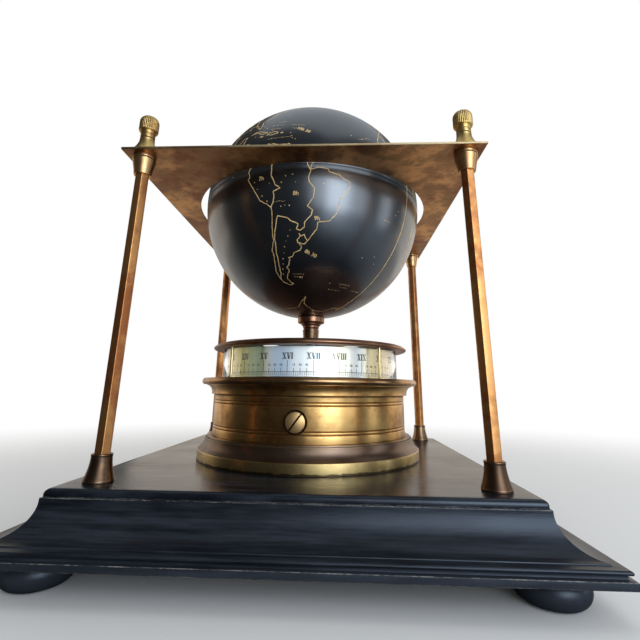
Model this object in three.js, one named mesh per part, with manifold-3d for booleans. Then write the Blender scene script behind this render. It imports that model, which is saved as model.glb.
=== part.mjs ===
// A world clock. A black globe, its poles upright, turns once a day in the round hole of a square brass
// plate on four hexagonal columns. Under it stands a turned brass drum with an hour ring behind glass,
// and all of it rests on an ebonised wooden stand with mitred mouldings and bun feet.
// Millimetres, +Z up, the front along -Y, the origin on the ground under the middle.
import * as THREE from "three";
import { mergeVertices } from "three/addons/utils/BufferGeometryUtils.js";
import Module from "manifold-3d";

const wasm = await Module();
wasm.setup();

// Clearances
const seatGap = 0.05; // between fixed faces that touch
const runGap = 0.08; // round a shaft that turns in its bore
const endGap = 0.4; // between faces that turn past each other
const looseGap = 0.3; // round a piece that drops into its place
const cutOverrun = 1; // how far a cutter runs past the face it opens

// Wooden stand
const footH = 11.4;
const footR = 14;
const footInset = 20.5;
const bandH = 2.7;
const grooveH = 1.4;
const grooveDepth = 2.2;
const beadH = 1.5;
const beadInset = 0.8;
const coveFilletH = 0.4;
const coveFilletInset = 5.3;
const coveH = 12.5;
const coveW = 12;
const coveHeadH = 0.9;
const mouldingW = 28;
const topLipT = 3.2;
const topLipOut = 14.7; // past the columns' middles
const mouldingOut = 17.9; // past the top board's lip
const topNoseR = 2.1;
const topBoardT = 12;
const bottomBoardT = 5;
const bottomBoardRecess = 1.5;
const wellR = 46;

// Columns between the stand and the top plate
const plateRim = 15.6; // of the plate outside its round hole
const plateT = 1.4;
const plateGlobeGap = 4.2;
const plateBelowEquator = 2;
const columnInset = 8.9;
const columnFlats = 6.35;
const columnStudR = 2;
const columnStudDepth = 9;
const socketWall = 0.6; // round the column's bore
const socketH = 11.6;
const socketFlare = 2.05;
const socketRimH = 0.9;
const socketFloor = 2.5;
const ferruleH = 11;
const ferruleFlare = 1.65;
const ferruleCollarH = 1.3;

// Knurled finial nuts
const finialWall = 1.6; // of the neck, round the column's stud
const finialBaseOut = 3.8;
const finialHeadOut = 1.55;
const finialBaseH = 1.2;
const finialNeckTop = 14.4;
const finialHeadH = 5.6;
const finialDomeH = 3.6;
const finialKnurlDepth = 0.45;
const finialKnurls = 16;
const finialBoreDepth = 9;

// Drum
const drumFootOut = 8;
const drumFootBandH = 5.7;
const drumFootSlopeH = 6.4;
const drumFootSlopeIn = 3.6;
const drumFootBeadH = 1.1;
const drumFootBeadOut = 3;
const movementRoom = 0.93; // between the movement's corners and the locating ring
const drumWall = 2.4;
const drumH = 46.3;
const drumDeckT = 3;
const drumGrooveDepth = 0.5;
const lowGroovesUp = 5.15; // from the foot ring to the middle of the lower pair
const highGroovesDown = 4.1; // from the cornice to the middle of the upper pair
const drumGrooveSpacing = 1.6;
const corniceH = 9.5;
const corniceOut = 8.3;
const corniceLipH = 3.7;
const locatingRingOver = 6.1; // above the case screws' middles
const locatingRingW = 5;
const screwHeadR = 5.25;
const screwHeadGap = 0.75;
const screwHeadT = 1.9;
const screwDomeH = 0.7;
const screwShankR = 2.5;
const screwShankL = 6;
const screwSeatDepth = 1.4;
const screwSlotW = 1.3;
const screwSlotDepth = 1;
const screwSlotLean = 53; // degrees from level
const screwH = 23.9; // height of the screws over the stand
const screwCount = 3;

// Glazed chamber of the hour ring
const chamberH = 17.7;
const glassInset = 3.8; // from the drum's face
const glassWall = 1.5;
const postR = 0.8;
const postGap = 2.3;
const capEdge = 1.5;
const capNoseOut = 1.3;
const capNoseH = 2;
const capTopIn = 1.4;
const capT = 6;
const capDome = 0.4;
const capRecessT = 3;
const ringGlassGap = 1;
const ringT = 0.8;
const ringLift = 0.7;
const ringHeadroom = 0.8;

// Spindle, its bearings and the collar under the globe
const spindleR = 3;
const pivotR = 2;
const pivotL = 3.3;
const footstepR = 5;
const footstepFlangeR = 7;
const footstepFlangeT = 0.9;
const footstepFloor = 1;
const sleeveOut = 1.1;
const sleeveH = 9.1;
const sleeveWall = 1.5;
const collarH = 8.6;
const collarCupOut = 1.4;
const collarFlangeOut = 2.2;
const collarFlangeT = 4.3;
const poleNutR = 5;
const poleNutH = 2.2;
const poleThreadR = 2;

// Globe
const globeR = 76;
const globeWall = 1.5;
const globeLapH = 3;
const globeLapT = 0.8;

// Wheelwork on the drum's deck
const toothH = 1; // over the pitch circle, whose diameter is this times the teeth
const globeWheelTeeth = 24;
const lowPinionTeeth = 12;
const highPinionTeeth = 8;
const idlerTeeth = 16;
const ringWheelTeeth = 16;
const wheelT = 2.4;
const wheelOverPipe = 0.5; // from the movement's pipe to the lower wheel
const wheelSpacing = 1.6; // from the lower wheel to the upper
const wheelHubWall = 2;
const wheelHubStandOut = 0.7;
const pinionArborR = 2.2;
const pinionArborDepth = 10;
const idlerStudR = 1.5;
const idlerShoulderR = 2.6;
const carrierHubWall = 1.6;
const carrierWebT = 1.5;
const carrierWebLift = 1.7; // from the upper wheel to the web
const carrierRimT = 1.8;
const carrierRimH = 4.6;
const carrierHoleR = 9.5;
const carrierHoleCount = 6;

// Battery movement under the deck
const movementCover = 1.6; // over and under the battery's room
const movementCornerR = 4;
const pipeR = 3.9;
const pipeStandOut = 0.2; // past its nut
const pipeNutWall = 1.1;
const pipeNutT = 1.9;
const batteryR = 7.2;
const batteryL = 49.2;
const batteryNubR = 2.75;
const batteryNubL = 1.3;
const batterySideWall = 2.1;
const batteryEndWall = 2.45;
const knobR = 6;
const knobT = 5.5;
const knobStemR = 1.6;
const knobStemL = 5;
const knobFluteDepth = 0.5;
const knobFlutes = 18;

// Steps round a turned piece, and on the arcs of its profile
const wideSteps = 32;
const globeSteps = 32;
const globeRings = 7;
const globeInnerRings = 3;
const narrowSteps = 16;
const slimSteps = 12;
const rodSteps = 10;
const hexSides = 6;
const noseSteps = 4;
const coveSteps = 7;
const ovoloSteps = 3;

// Places and sizes worked out from the sizes above
const degree = Math.PI / 180;
// The corner radius of a bore whose flats keep the gap all round a shaft.
const boreRound = (shaft, gap, steps) => (shaft + gap) / Math.cos(Math.PI / steps);

const plateHalf = globeR + plateGlobeGap + plateRim;
const columnPlace = plateHalf - columnInset;
const lipHalf = columnPlace + topLipOut;
const standHalf = lipHalf + mouldingOut;
const footPlace = standHalf - footInset;
const standTop = footH + bandH + grooveH + beadH + coveFilletH + coveH + coveHeadH + topLipT;
const mouldingTop = standTop - topLipT;
const mouldingInner = standHalf - mouldingW;

const columnCornerR = columnFlats / Math.sqrt(3);
const columnBore = boreRound(columnCornerR, seatGap, slimSteps);
const studBore = boreRound(columnStudR, seatGap, rodSteps);
const socketTopR = columnBore + socketWall;
const socketFootR = socketTopR + socketFlare;
const ferruleTopR = socketTopR + ferruleFlare;
const finialNeckR = columnStudR + finialWall;
const finialBaseR = finialNeckR + finialBaseOut;
const finialHeadR = finialNeckR + finialHeadOut;

const pitchRadius = (teeth) => (toothH * teeth) / 2;
const gearCentres = pitchRadius(globeWheelTeeth) + pitchRadius(lowPinionTeeth);
const batteryRoom = batteryR + looseGap;
const batteryRoomL = batteryL + batteryNubL + 2 * looseGap;
const movementW = batteryRoomL + 2 * batteryEndWall;
const movementT = 2 * batteryR + movementCover;
const movementSquare = movementW / 2 - movementCornerR;
const movementReach = Math.hypot(movementSquare, gearCentres + movementSquare) + movementCornerR;
const drumInner = movementReach + movementRoom + locatingRingW + looseGap;
const drumR = drumInner + drumWall;
const drumFootR = drumR + drumFootOut;

const deckTop = standTop + drumH;
const deckUnder = deckTop - drumDeckT;
const capUnder = deckTop + chamberH;
const capTop = capUnder + capT;
const glassR = drumR - glassInset;
const ringR = glassR - glassWall - ringGlassGap;
const postCircleR = glassR + postGap + postR;
const capLowR = postCircleR + postR + capEdge;

const sleeveSpigotR = spindleR + sleeveWall;
const sleeveR = sleeveSpigotR + sleeveOut;
const collarCupR = sleeveR + collarCupOut;
const collarFlangeR = collarCupR + collarFlangeOut;
const sleeveTop = capTop + capDome + sleeveH;
const collarBottom = sleeveTop + endGap;
const collarTop = collarBottom + collarH;
const globeZ = collarTop + seatGap + Math.sqrt(globeR ** 2 - collarFlangeR ** 2);
const plateUnder = globeZ - plateBelowEquator;
const plateTop = plateUnder + plateT;

const pipeTop = pipeNutT + pipeStandOut;
const lowWheelZ = deckTop + pipeTop + wheelOverPipe;
const highWheelZ = lowWheelZ + wheelT + wheelSpacing;
const webZ = highWheelZ + wheelT + carrierWebLift;
const wheelHubR = spindleR + wheelHubWall;
const carrierHubR = spindleR + carrierHubWall;
const footstepBottom = deckUnder + seatGap;
const movementTop = deckUnder - seatGap;
const movementBottom = movementTop - movementT;

// Finishes
const finish = (color, roughness, metalness) =>
  new THREE.MeshStandardMaterial({ color, roughness, metalness });
const ebonised = finish(0x15151a, 0.35, 0);
const bareWood = finish(0x6b5237, 0.8, 0);
const satinBrass = finish(0xa8844a, 0.35, 1);
const agedBrass = finish(0x6f4a2c, 0.45, 1);
const paleBrass = finish(0xd9b878, 0.3, 1);
const silvered = finish(0xd6d9dc, 0.4, 0.6);
const blackLacquer = finish(0x0d0f13, 0.25, 0);
const steel = finish(0x8f9296, 0.3, 1);
const blackPlastic = finish(0x1b1b1d, 0.5, 0);
const batteryJacket = finish(0x39513f, 0.4, 0.2);
const clearGlass = new THREE.MeshStandardMaterial({
  color: 0xf2f5f5,
  roughness: 0.05,
  metalness: 0,
  transparent: true,
  opacity: 0.25,
});

const clock = new THREE.Group();

function piece(name, geometry, material) {
  const mesh = new THREE.Mesh(geometry, material);
  mesh.name = name;
  clock.add(mesh);
  return mesh;
}

// The solid of a closed geometry, and back again.
function solid(geometry) {
  const bare = geometry.clone();
  bare.deleteAttribute("normal");
  bare.deleteAttribute("uv");
  const merged = mergeVertices(bare);
  return new wasm.Manifold(
    new wasm.Mesh({
      numProp: 3,
      vertProperties: merged.getAttribute("position").array,
      triVerts: new Uint32Array(merged.getIndex().array),
    }),
  );
}

function geometryOf(manifold) {
  const mesh = manifold.getMesh();
  const geometry = new THREE.BufferGeometry();
  geometry.setAttribute("position", new THREE.BufferAttribute(new Float32Array(mesh.vertProperties), 3));
  geometry.setIndex(new THREE.BufferAttribute(new Uint32Array(mesh.triVerts), 1));
  geometry.computeVertexNormals();
  return geometry;
}

// A profile of [radius, height] turned about the upright axis. A profile off the axis is a ring.
function turned(profile, steps) {
  const outline = profile.map(([r, z]) => new THREE.Vector2(r, z));
  if (THREE.ShapeUtils.isClockWise(outline)) outline.reverse();
  const onAxis = outline.findIndex((p, i) => p.x === 0 && outline[(i + 1) % outline.length].x === 0);
  const ordered = onAxis < 0
    ? [...outline, outline[0].clone()]
    : [...outline.slice(onAxis + 1), ...outline.slice(0, onAxis + 1)];
  return new THREE.LatheGeometry(ordered, steps).rotateX(Math.PI / 2);
}

// Points on an ellipse about [r, z], from one angle to another in degrees.
function arc(r, z, radiusR, radiusZ, from, to, steps) {
  return Array.from({ length: steps + 1 }, (_, i) => {
    const angle = (from + ((to - from) * i) / steps) * degree;
    return [r + radiusR * Math.cos(angle), z + radiusZ * Math.sin(angle)];
  });
}

function rod(radius, from, to, steps) {
  const upright = new THREE.CylinderGeometry(radius, radius, to - from, steps).rotateX(Math.PI / 2);
  return upright.translate(0, 0, (from + to) / 2);
}

function block(width, depth, from, to) {
  return new THREE.BoxGeometry(width, depth, to - from).translate(0, 0, (from + to) / 2);
}

function extruded(points, from, to) {
  const shape = new THREE.Shape(points.map(([x, y]) => new THREE.Vector2(x, y)));
  return new THREE.ExtrudeGeometry(shape, { depth: to - from, bevelEnabled: false }).translate(0, 0, from);
}

function cornersOf(place) {
  return [
    [-place, -place],
    [place, -place],
    [place, place],
    [-place, place],
  ];
}

// Level outlines of as many points each, { outline, z }, skinned from the lowest to the highest.
// Fans about the axis close both ends, the upper one as a point that stands `crown` over its level.
function lofted(levels, crown) {
  const count = levels[0].outline.length;
  const index = [];
  const low = levels.length * count;
  const last = low - count;
  for (let side = 0; side < count; side += 1) {
    const next = (side + 1) % count;
    for (let a = 0; a < last; a += count) {
      index.push(a + side, a + next, a + next + count, a + side, a + next + count, a + side + count);
    }
    index.push(low, next, side, low + 1, last + side, last + next);
  }
  const points = levels.flatMap(({ outline, z }) => outline.flatMap(([x, y]) => [x, y, z]));
  points.push(0, 0, levels[0].z, 0, 0, levels[levels.length - 1].z + crown);
  const geometry = new THREE.BufferGeometry();
  geometry.setAttribute("position", new THREE.Float32BufferAttribute(points, 3));
  geometry.setIndex(index);
  return geometry;
}

// Teeth
const toothRootShare = 0.66; // of half a pitch
const toothTipShare = 0.24;
const toothFallShare = 1.25; // depth under the pitch circle, of the height over it

// A toothed outline whose first tooth is centred at the angle `turn`.
function gearOutline(teeth, turn) {
  const half = Math.PI / teeth;
  const root = pitchRadius(teeth) - toothH * toothFallShare;
  const tip = pitchRadius(teeth) + toothH;
  const flank = [
    [root, -half * toothRootShare],
    [tip, -half * toothTipShare],
    [tip, half * toothTipShare],
    [root, half * toothRootShare],
  ];
  const points = [];
  for (let i = 0; i < teeth; i += 1) {
    for (const [r, lean] of flank) {
      const angle = turn + 2 * half * i + lean;
      points.push([r * Math.cos(angle), r * Math.sin(angle)]);
    }
  }
  return points;
}

// The turn that puts a wheel in mesh with one that lies at the angle `away` on its far side.
function meshedTurn(away, teeth, turn, nextTeeth) {
  return away + Math.PI - (Math.PI - (away - turn) * teeth) / nextTeeth;
}

// Wooden stand: the moulding's section as [half width, height], from its inner foot round to its inner head.
const bandTop = footH + bandH;
const beadBottom = bandTop + grooveH;
const beadTop = beadBottom + beadH;
const coveBottom = beadTop + coveFilletH;
const coveTop = coveBottom + coveH;
const coveOuter = standHalf - coveFilletInset;
const coveInner = coveOuter - coveW;
const mouldingSection = [
  [mouldingInner, footH],
  [standHalf, footH],
  [standHalf, bandTop],
  [standHalf - grooveDepth, bandTop],
  [standHalf - grooveDepth, beadBottom],
  ...arc(standHalf - beadInset - beadH / 2, beadBottom + beadH / 2, beadH / 2, beadH / 2, -90, 90, noseSteps),
  [coveOuter, beadTop],
  ...arc(coveOuter, coveTop, coveW, coveH, 270, 180, coveSteps),
  [coveInner, mouldingTop],
  [mouldingInner, mouldingTop],
];

// A section carried along the front with its ends cut to the mitre.
function mitred(section) {
  const geometry = extruded(section, 0, 1);
  const place = geometry.getAttribute("position");
  for (let i = 0; i < place.count; i += 1) {
    const outward = place.getX(i);
    const across = (1 - 2 * place.getZ(i)) * (outward - looseGap);
    place.setXYZ(i, across, -outward, place.getY(i));
  }
  return geometry;
}

["front", "right", "back", "left"].forEach((side, i) => {
  const moulding = piece("plinth_moulding_" + side, mitred(mouldingSection), ebonised);
  moulding.rotation.z = (i * Math.PI) / 2;
});

// The top board: a rounded lip lies on the mouldings and the thicker middle drops between them.
const lipBottom = mouldingTop + seatGap;
const boardMiddle = 2 * (mouldingInner - looseGap);

function lippedBoard() {
  const middle = solid(block(boardMiddle, boardMiddle, standTop - topBoardT, standTop));
  const nose = arc(lipHalf - topNoseR, standTop - topNoseR, topNoseR, topNoseR, 0, 90, noseSteps);
  const levels = [[lipHalf, lipBottom], ...nose].map(([half, z]) => ({ outline: cornersOf(half), z }));
  const lip = solid(lofted(levels, 0));
  const well = solid(rod(wellR, standTop - topBoardT - cutOverrun, standTop + cutOverrun, wideSteps));
  let board = middle.add(lip).subtract(well);
  const holeBottom = standTop - columnStudDepth - looseGap;
  for (const [x, y] of cornersOf(columnPlace)) {
    const hole = rod(columnStudR + looseGap, holeBottom, standTop + cutOverrun, rodSteps);
    board = board.subtract(solid(hole.translate(x, y, 0)));
  }
  return geometryOf(board);
}
piece("top_board", lippedBoard(), ebonised);

const bottomBoardZ = footH + bottomBoardRecess;
const bottomWell = rod(wellR, bottomBoardZ - cutOverrun, bottomBoardZ + bottomBoardT + cutOverrun, wideSteps);
const bottomBoard = solid(block(boardMiddle, boardMiddle, bottomBoardZ, bottomBoardZ + bottomBoardT)).subtract(
  solid(bottomWell),
);
piece("bottom_board", geometryOf(bottomBoard), bareWood);

const footSoleShare = 0.55;
const footNeckShare = 0.72;
const footMiddle = (footH - seatGap) / 2;
const bunFoot = turned(
  [
    [0, 0],
    [footR * footSoleShare, 0],
    ...arc(footR - footMiddle, footMiddle, footMiddle, footMiddle, -45, 60, ovoloSteps),
    [footR * footNeckShare, footH - seatGap],
    [0, footH - seatGap],
  ],
  slimSteps,
);
cornersOf(footPlace).forEach(([x, y], i) => {
  piece("bun_foot_" + (i + 1), bunFoot, ebonised).position.set(x, y, 0);
});

// Columns: hexagonal rods with a turned stud at each end, in sockets below and ferrules above.
const hexBottom = standTop + seatGap + socketFloor + seatGap;
const hexTop = plateUnder - seatGap - socketFloor - seatGap;
const column = geometryOf(
  solid(rod(columnCornerR, hexBottom, hexTop, hexSides)).add(
    solid(rod(columnStudR, standTop - columnStudDepth, plateTop + finialBoreDepth - looseGap, rodSteps)),
  ),
);
const socketWaistShare = 0.42;
const socketCurveShare = 0.3;
const baseSocket = turned(
  [
    [studBore, 0],
    [socketFootR, 0],
    [socketFootR, socketRimH],
    [socketTopR + socketFlare * socketCurveShare, socketH * socketWaistShare],
    [socketTopR, socketH],
    [columnBore, socketH],
    [columnBore, socketFloor],
    [studBore, socketFloor],
  ],
  slimSteps,
);
const topFerrule = turned(
  [
    [studBore, 0],
    [ferruleTopR, 0],
    [ferruleTopR, -ferruleCollarH],
    [socketTopR + ferruleFlare * socketCurveShare, -ferruleH * (1 - socketWaistShare)],
    [socketTopR, -ferruleH],
    [columnBore, -ferruleH],
    [columnBore, -socketFloor],
    [studBore, -socketFloor],
  ],
  slimSteps,
);

// Finial nuts: a trumpet base, a short neck and a straight-knurled head with a round crown.
const finialHeadTop = finialNeckTop + finialHeadH;
const finialFlareShares = [
  { height: 0.52, out: 0.46 },
  { height: 0.7, out: 0.25 },
  { height: 0.92, out: 0 },
];
const finialCrownShares = { width: 0.72, height: 0.72 };
const finialCore = turned(
  [
    [studBore, 0],
    [finialBaseR, 0],
    [finialBaseR, finialBaseH],
    ...finialFlareShares.map(({ height, out }) => [
      finialNeckR + finialBaseOut * out,
      finialNeckTop * height,
    ]),
    [finialNeckR, finialHeadTop],
    [0, finialHeadTop],
    [0, finialBoreDepth],
    [studBore, finialBoreDepth],
  ],
  rodSteps,
);
function flutedOutline(radius, depth, count) {
  return Array.from({ length: 2 * count }, (_, i) => {
    const r = i % 2 ? radius - depth : radius;
    const angle = (i * Math.PI) / count;
    return [r * Math.cos(angle), r * Math.sin(angle)];
  });
}
const knurlAt = (share, z) => ({
  outline: flutedOutline(finialHeadR * share, finialKnurlDepth * share, finialKnurls),
  z,
});
const finialHead = lofted(
  [
    knurlAt(1, finialNeckTop),
    knurlAt(1, finialHeadTop),
    knurlAt(finialCrownShares.width, finialHeadTop + finialDomeH * finialCrownShares.height),
  ],
  finialDomeH * (1 - finialCrownShares.height),
);
const finialNut = geometryOf(solid(finialCore).add(solid(finialHead)));
cornersOf(columnPlace).forEach(([x, y], i) => {
  const number = i + 1;
  piece("column_" + number, column, satinBrass).position.set(x, y, 0);
  piece("base_socket_" + number, baseSocket, agedBrass).position.set(x, y, standTop + seatGap);
  piece("top_ferrule_" + number, topFerrule, agedBrass).position.set(x, y, plateUnder - seatGap);
  piece("finial_nut_" + number, finialNut, satinBrass).position.set(x, y, plateTop + seatGap);
});

// The top plate, with the round hole that the globe turns in.
let plate = solid(block(2 * plateHalf, 2 * plateHalf, plateUnder, plateTop)).subtract(
  solid(rod(globeR + plateGlobeGap, plateUnder - cutOverrun, plateTop + cutOverrun, wideSteps)),
);
for (const [x, y] of cornersOf(columnPlace)) {
  const hole = rod(studBore, plateUnder - cutOverrun, plateTop + cutOverrun, rodSteps);
  plate = plate.subtract(solid(hole.translate(x, y, 0)));
}
piece("top_plate", geometryOf(plate), agedBrass);

// Drum: a moulded foot ring, a locating ring inside it and the turned case that drops over both.
const footSlopeZ = standTop + seatGap + drumFootBandH + drumFootSlopeH;
const footRingTop = footSlopeZ + drumFootBeadH;
piece(
  "drum_foot_ring",
  turned(
    [
      [drumInner, standTop + seatGap],
      [drumFootR, standTop + seatGap],
      [drumFootR, standTop + drumFootBandH],
      ...arc(drumFootR, footSlopeZ, drumFootSlopeIn, drumFootSlopeH, 225, 180, 2),
      [drumR + drumFootBeadOut, footSlopeZ],
      [drumR + drumFootBeadOut, footRingTop],
      [drumInner, footRingTop],
    ],
    wideSteps,
  ),
  agedBrass,
);

const corniceZ = (share) => deckTop - corniceH * (1 - share);
const corniceR = (share) => drumR + corniceOut * share;
const corniceNeckShares = { out: 0.24, low: 0.02, high: 0.1 };
const corniceOvoloShares = { out: 0.56, width: 0.32, height: 0.46 };
const corniceFilletShares = { out: 0.62, lipOut: 0.88, topOut: 0.9 };
// Two turned grooves with a fine bead left between them.
const groovePair = (z) => [
  [drumR, z - drumGrooveSpacing],
  [drumR - drumGrooveDepth, z - drumGrooveSpacing / 2],
  [drumR, z],
  [drumR - drumGrooveDepth, z + drumGrooveSpacing / 2],
  [drumR, z + drumGrooveSpacing],
];
const corniceLipZ = deckTop - corniceLipH;
const groovesZ = [footRingTop + lowGroovesUp, deckTop - corniceH - highGroovesDown];
const drumProfile = [
  [drumInner, footRingTop + seatGap],
  [drumR, footRingTop + seatGap],
  ...groovesZ.flatMap(groovePair),
  [drumR, corniceZ(0)],
  [corniceR(corniceNeckShares.out), corniceZ(corniceNeckShares.low)],
  [corniceR(corniceNeckShares.out), corniceZ(corniceNeckShares.high)],
  ...arc(
    corniceR(corniceOvoloShares.out),
    corniceZ(corniceNeckShares.high),
    corniceOut * corniceOvoloShares.width,
    corniceH * corniceOvoloShares.height,
    180,
    90,
    ovoloSteps,
  ),
  [corniceR(corniceFilletShares.out), corniceZ(corniceNeckShares.high + corniceOvoloShares.height)],
  [corniceR(corniceFilletShares.out), corniceLipZ],
  [corniceR(corniceFilletShares.lipOut), corniceLipZ],
  [drumR + corniceOut, deckTop - corniceLipH / 2],
  [corniceR(corniceFilletShares.topOut), deckTop],
  [boreRound(footstepR, seatGap, wideSteps), deckTop],
  [boreRound(footstepR, seatGap, wideSteps), deckUnder],
  [drumInner, deckUnder],
];
const idlerAway = pitchRadius(highPinionTeeth) + pitchRadius(idlerTeeth);
const idlerOut = pitchRadius(ringWheelTeeth) + pitchRadius(idlerTeeth);
const idlerLean = Math.acos((gearCentres ** 2 + idlerOut ** 2 - idlerAway ** 2) / (2 * gearCentres * idlerOut));
const idlerX = idlerOut * Math.sin(idlerLean);
const idlerY = idlerOut * Math.cos(idlerLean);

// Something made upright about the axis, laid to point out of the drum at the front and then turned round it.
const laidOut = (geometry, turn, out, height) =>
  geometry.rotateX(Math.PI / 2).translate(0, -out, height).rotateZ(turn);
const screwTurn = (i) => (i * 2 * Math.PI) / screwCount;
const screwZ = standTop + screwH;
function deckBore(radius, x, y) {
  const bore = rod(boreRound(radius, seatGap, rodSteps), deckUnder - cutOverrun, deckTop + cutOverrun, rodSteps);
  return solid(bore.translate(x, y, 0));
}
let drumCase = solid(turned(drumProfile, wideSteps))
  .subtract(deckBore(pipeR, 0, gearCentres))
  .subtract(deckBore(idlerStudR, idlerX, idlerY));
const threadDepth = drumWall + looseGap + locatingRingW + cutOverrun;
const locatingRingTop = standTop + screwH + locatingRingOver;
let locatingRing = solid(
  turned(
    [
      [drumInner - looseGap - locatingRingW, standTop + seatGap],
      [drumInner - looseGap, standTop + seatGap],
      [drumInner - looseGap, locatingRingTop],
      [drumInner - looseGap - locatingRingW, locatingRingTop],
    ],
    wideSteps,
  ),
);
for (let i = 0; i < screwCount; i += 1) {
  const seat = rod(screwHeadR + screwHeadGap, -screwSeatDepth, cutOverrun, rodSteps);
  const bore = rod(screwShankR + looseGap, -drumWall - cutOverrun, cutOverrun, rodSteps);
  const thread = rod(boreRound(screwShankR, seatGap, rodSteps), -threadDepth, cutOverrun, rodSteps);
  drumCase = drumCase
    .subtract(solid(laidOut(seat, screwTurn(i), drumR, screwZ)))
    .subtract(solid(laidOut(bore, screwTurn(i), drumR, screwZ)));
  locatingRing = locatingRing.subtract(solid(laidOut(thread, screwTurn(i), drumR, screwZ)));
}
piece("drum_case", geometryOf(drumCase), satinBrass);
piece("locating_ring", geometryOf(locatingRing), agedBrass);

const screwHeadBottom = -screwSeatDepth + seatGap;
const caseScrew = geometryOf(
  solid(
    turned(
      [
        [0, screwHeadBottom - screwShankL],
        [screwShankR, screwHeadBottom - screwShankL],
        [screwShankR, screwHeadBottom],
        [screwHeadR, screwHeadBottom],
        [screwHeadR, screwHeadBottom + screwHeadT],
        [screwHeadR / 2, screwHeadBottom + screwHeadT + screwDomeH],
        [0, screwHeadBottom + screwHeadT + screwDomeH],
      ],
      slimSteps,
    ),
  ).subtract(
    solid(
      block(
        2 * (screwHeadR + cutOverrun),
        screwSlotW,
        screwHeadBottom + screwHeadT - screwSlotDepth,
        screwHeadBottom + screwHeadT + screwDomeH + cutOverrun,
      ).rotateZ(screwSlotLean * degree),
    ),
  ),
);
for (let i = 0; i < screwCount; i += 1) {
  piece("case_screw_" + (i + 1), laidOut(caseScrew.clone(), screwTurn(i), drumR, screwZ), paleBrass);
}

// Glazed chamber: a glass cylinder between deck and cap, and four thin posts outside it.
piece(
  "chamber_glass",
  turned(
    [
      [glassR - glassWall, deckTop + seatGap],
      [glassR, deckTop + seatGap],
      [glassR, capUnder - seatGap],
      [glassR - glassWall, capUnder - seatGap],
    ],
    wideSteps,
  ),
  clearGlass,
);
const post = rod(postR, deckTop + seatGap, capUnder - seatGap, rodSteps);
cornersOf(postCircleR * Math.SQRT1_2).forEach(([x, y], i) => {
  piece("chamber_post_" + (i + 1), post, paleBrass).position.set(x, y, 0);
});
const spindleBoreR = boreRound(spindleR, runGap, narrowSteps);
const capBore = boreRound(sleeveSpigotR, seatGap, wideSteps);
piece(
  "cap",
  turned(
    [
      [capBore, capTop - capRecessT],
      [glassR - 2 * glassWall, capTop - capRecessT],
      [glassR - 2 * glassWall, capUnder],
      [capLowR, capUnder],
      [capLowR + capNoseOut, capUnder + capNoseH],
      [capLowR, capTop - capNoseH],
      [capLowR - capTopIn, capTop],
      [capBore, capTop + capDome],
    ],
    wideSteps,
  ),
  agedBrass,
);
piece(
  "spindle_sleeve",
  turned(
    [
      [spindleBoreR, capTop - capRecessT],
      [sleeveSpigotR, capTop - capRecessT],
      [sleeveSpigotR, capTop + capDome + seatGap],
      [sleeveR, capTop + capDome + seatGap],
      [sleeveR, sleeveTop],
      [spindleBoreR, sleeveTop],
    ],
    narrowSteps,
  ),
  agedBrass,
);

// Footstep bearing in the deck, the spindle that stands in it and the collar that carries the globe.
const footstepTop = deckTop + seatGap + footstepFlangeT;
const footstepFloorZ = footstepBottom + footstepFloor;
piece(
  "footstep_bearing",
  turned(
    [
      [0, footstepBottom],
      [footstepR, footstepBottom],
      [footstepR, deckTop + seatGap],
      [footstepFlangeR, deckTop + seatGap],
      [footstepFlangeR, footstepTop],
      [boreRound(pivotR, runGap, narrowSteps), footstepTop],
      [boreRound(pivotR, runGap, narrowSteps), footstepFloorZ],
      [0, footstepFloorZ],
    ],
    narrowSteps,
  ),
  paleBrass,
);
const innerPoleZ = globeZ + Math.sqrt((globeR - globeWall) ** 2 - (2 * spindleR) ** 2) - looseGap;
const outerPoleZ = globeZ + globeR;
const pivotBottom = footstepFloorZ + seatGap;
piece(
  "spindle",
  turned(
    [
      [0, pivotBottom],
      [pivotR, pivotBottom],
      [pivotR, pivotBottom + pivotL],
      [spindleR, pivotBottom + pivotL + pivotR / 2],
      [spindleR, innerPoleZ - seatGap],
      [poleThreadR, innerPoleZ - seatGap],
      [poleThreadR, outerPoleZ + poleNutH / 2],
      [0, outerPoleZ + poleNutH / 2],
    ],
    narrowSteps,
  ),
  steel,
);
const collarBoreR = boreRound(spindleR, seatGap, narrowSteps);
const southPoleZ = (r) => globeZ - Math.sqrt(globeR ** 2 - r ** 2);
const collarNeckShare = 0.2;
piece(
  "globe_collar",
  turned(
    [
      [collarBoreR, collarBottom],
      [sleeveR, collarBottom],
      [sleeveR, collarBottom + collarH * collarNeckShare],
      [collarCupR, collarTop - collarFlangeT],
      [collarFlangeR, collarTop - collarFlangeT],
      [collarFlangeR, collarTop],
      [collarCupR, southPoleZ(collarCupR) - 2 * seatGap],
      [collarBoreR, southPoleZ(collarBoreR) - 2 * seatGap],
    ],
    narrowSteps,
  ),
  agedBrass,
);

// Globe: two half shells. The lower one has a lap inside that the upper one drops over.
const shellInner = globeR - globeWall;
const lapOuter = shellInner - looseGap;
const lapInner = lapOuter - globeLapT;
const poleAngle = (radius, hole) => Math.asin(hole / radius) / degree;
const lowHole = boreRound(spindleR, seatGap, narrowSteps);
const highHole = boreRound(poleThreadR, seatGap, narrowSteps);
const seamZ = globeZ;
piece(
  "globe_lower_shell",
  turned(
    [
      ...arc(0, seamZ, globeR, globeR, -90 + poleAngle(globeR, lowHole), 0, globeRings),
      [lapOuter, seamZ],
      [lapOuter, seamZ + globeLapH],
      [lapInner, seamZ + globeLapH],
      [lapInner, seamZ - globeLapH],
      ...arc(
        0,
        seamZ,
        shellInner,
        shellInner,
        -poleAngle(shellInner, 2 * globeLapH),
        -90 + poleAngle(shellInner, lowHole),
        globeInnerRings,
      ),
    ],
    globeSteps,
  ),
  blackLacquer,
);
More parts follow.
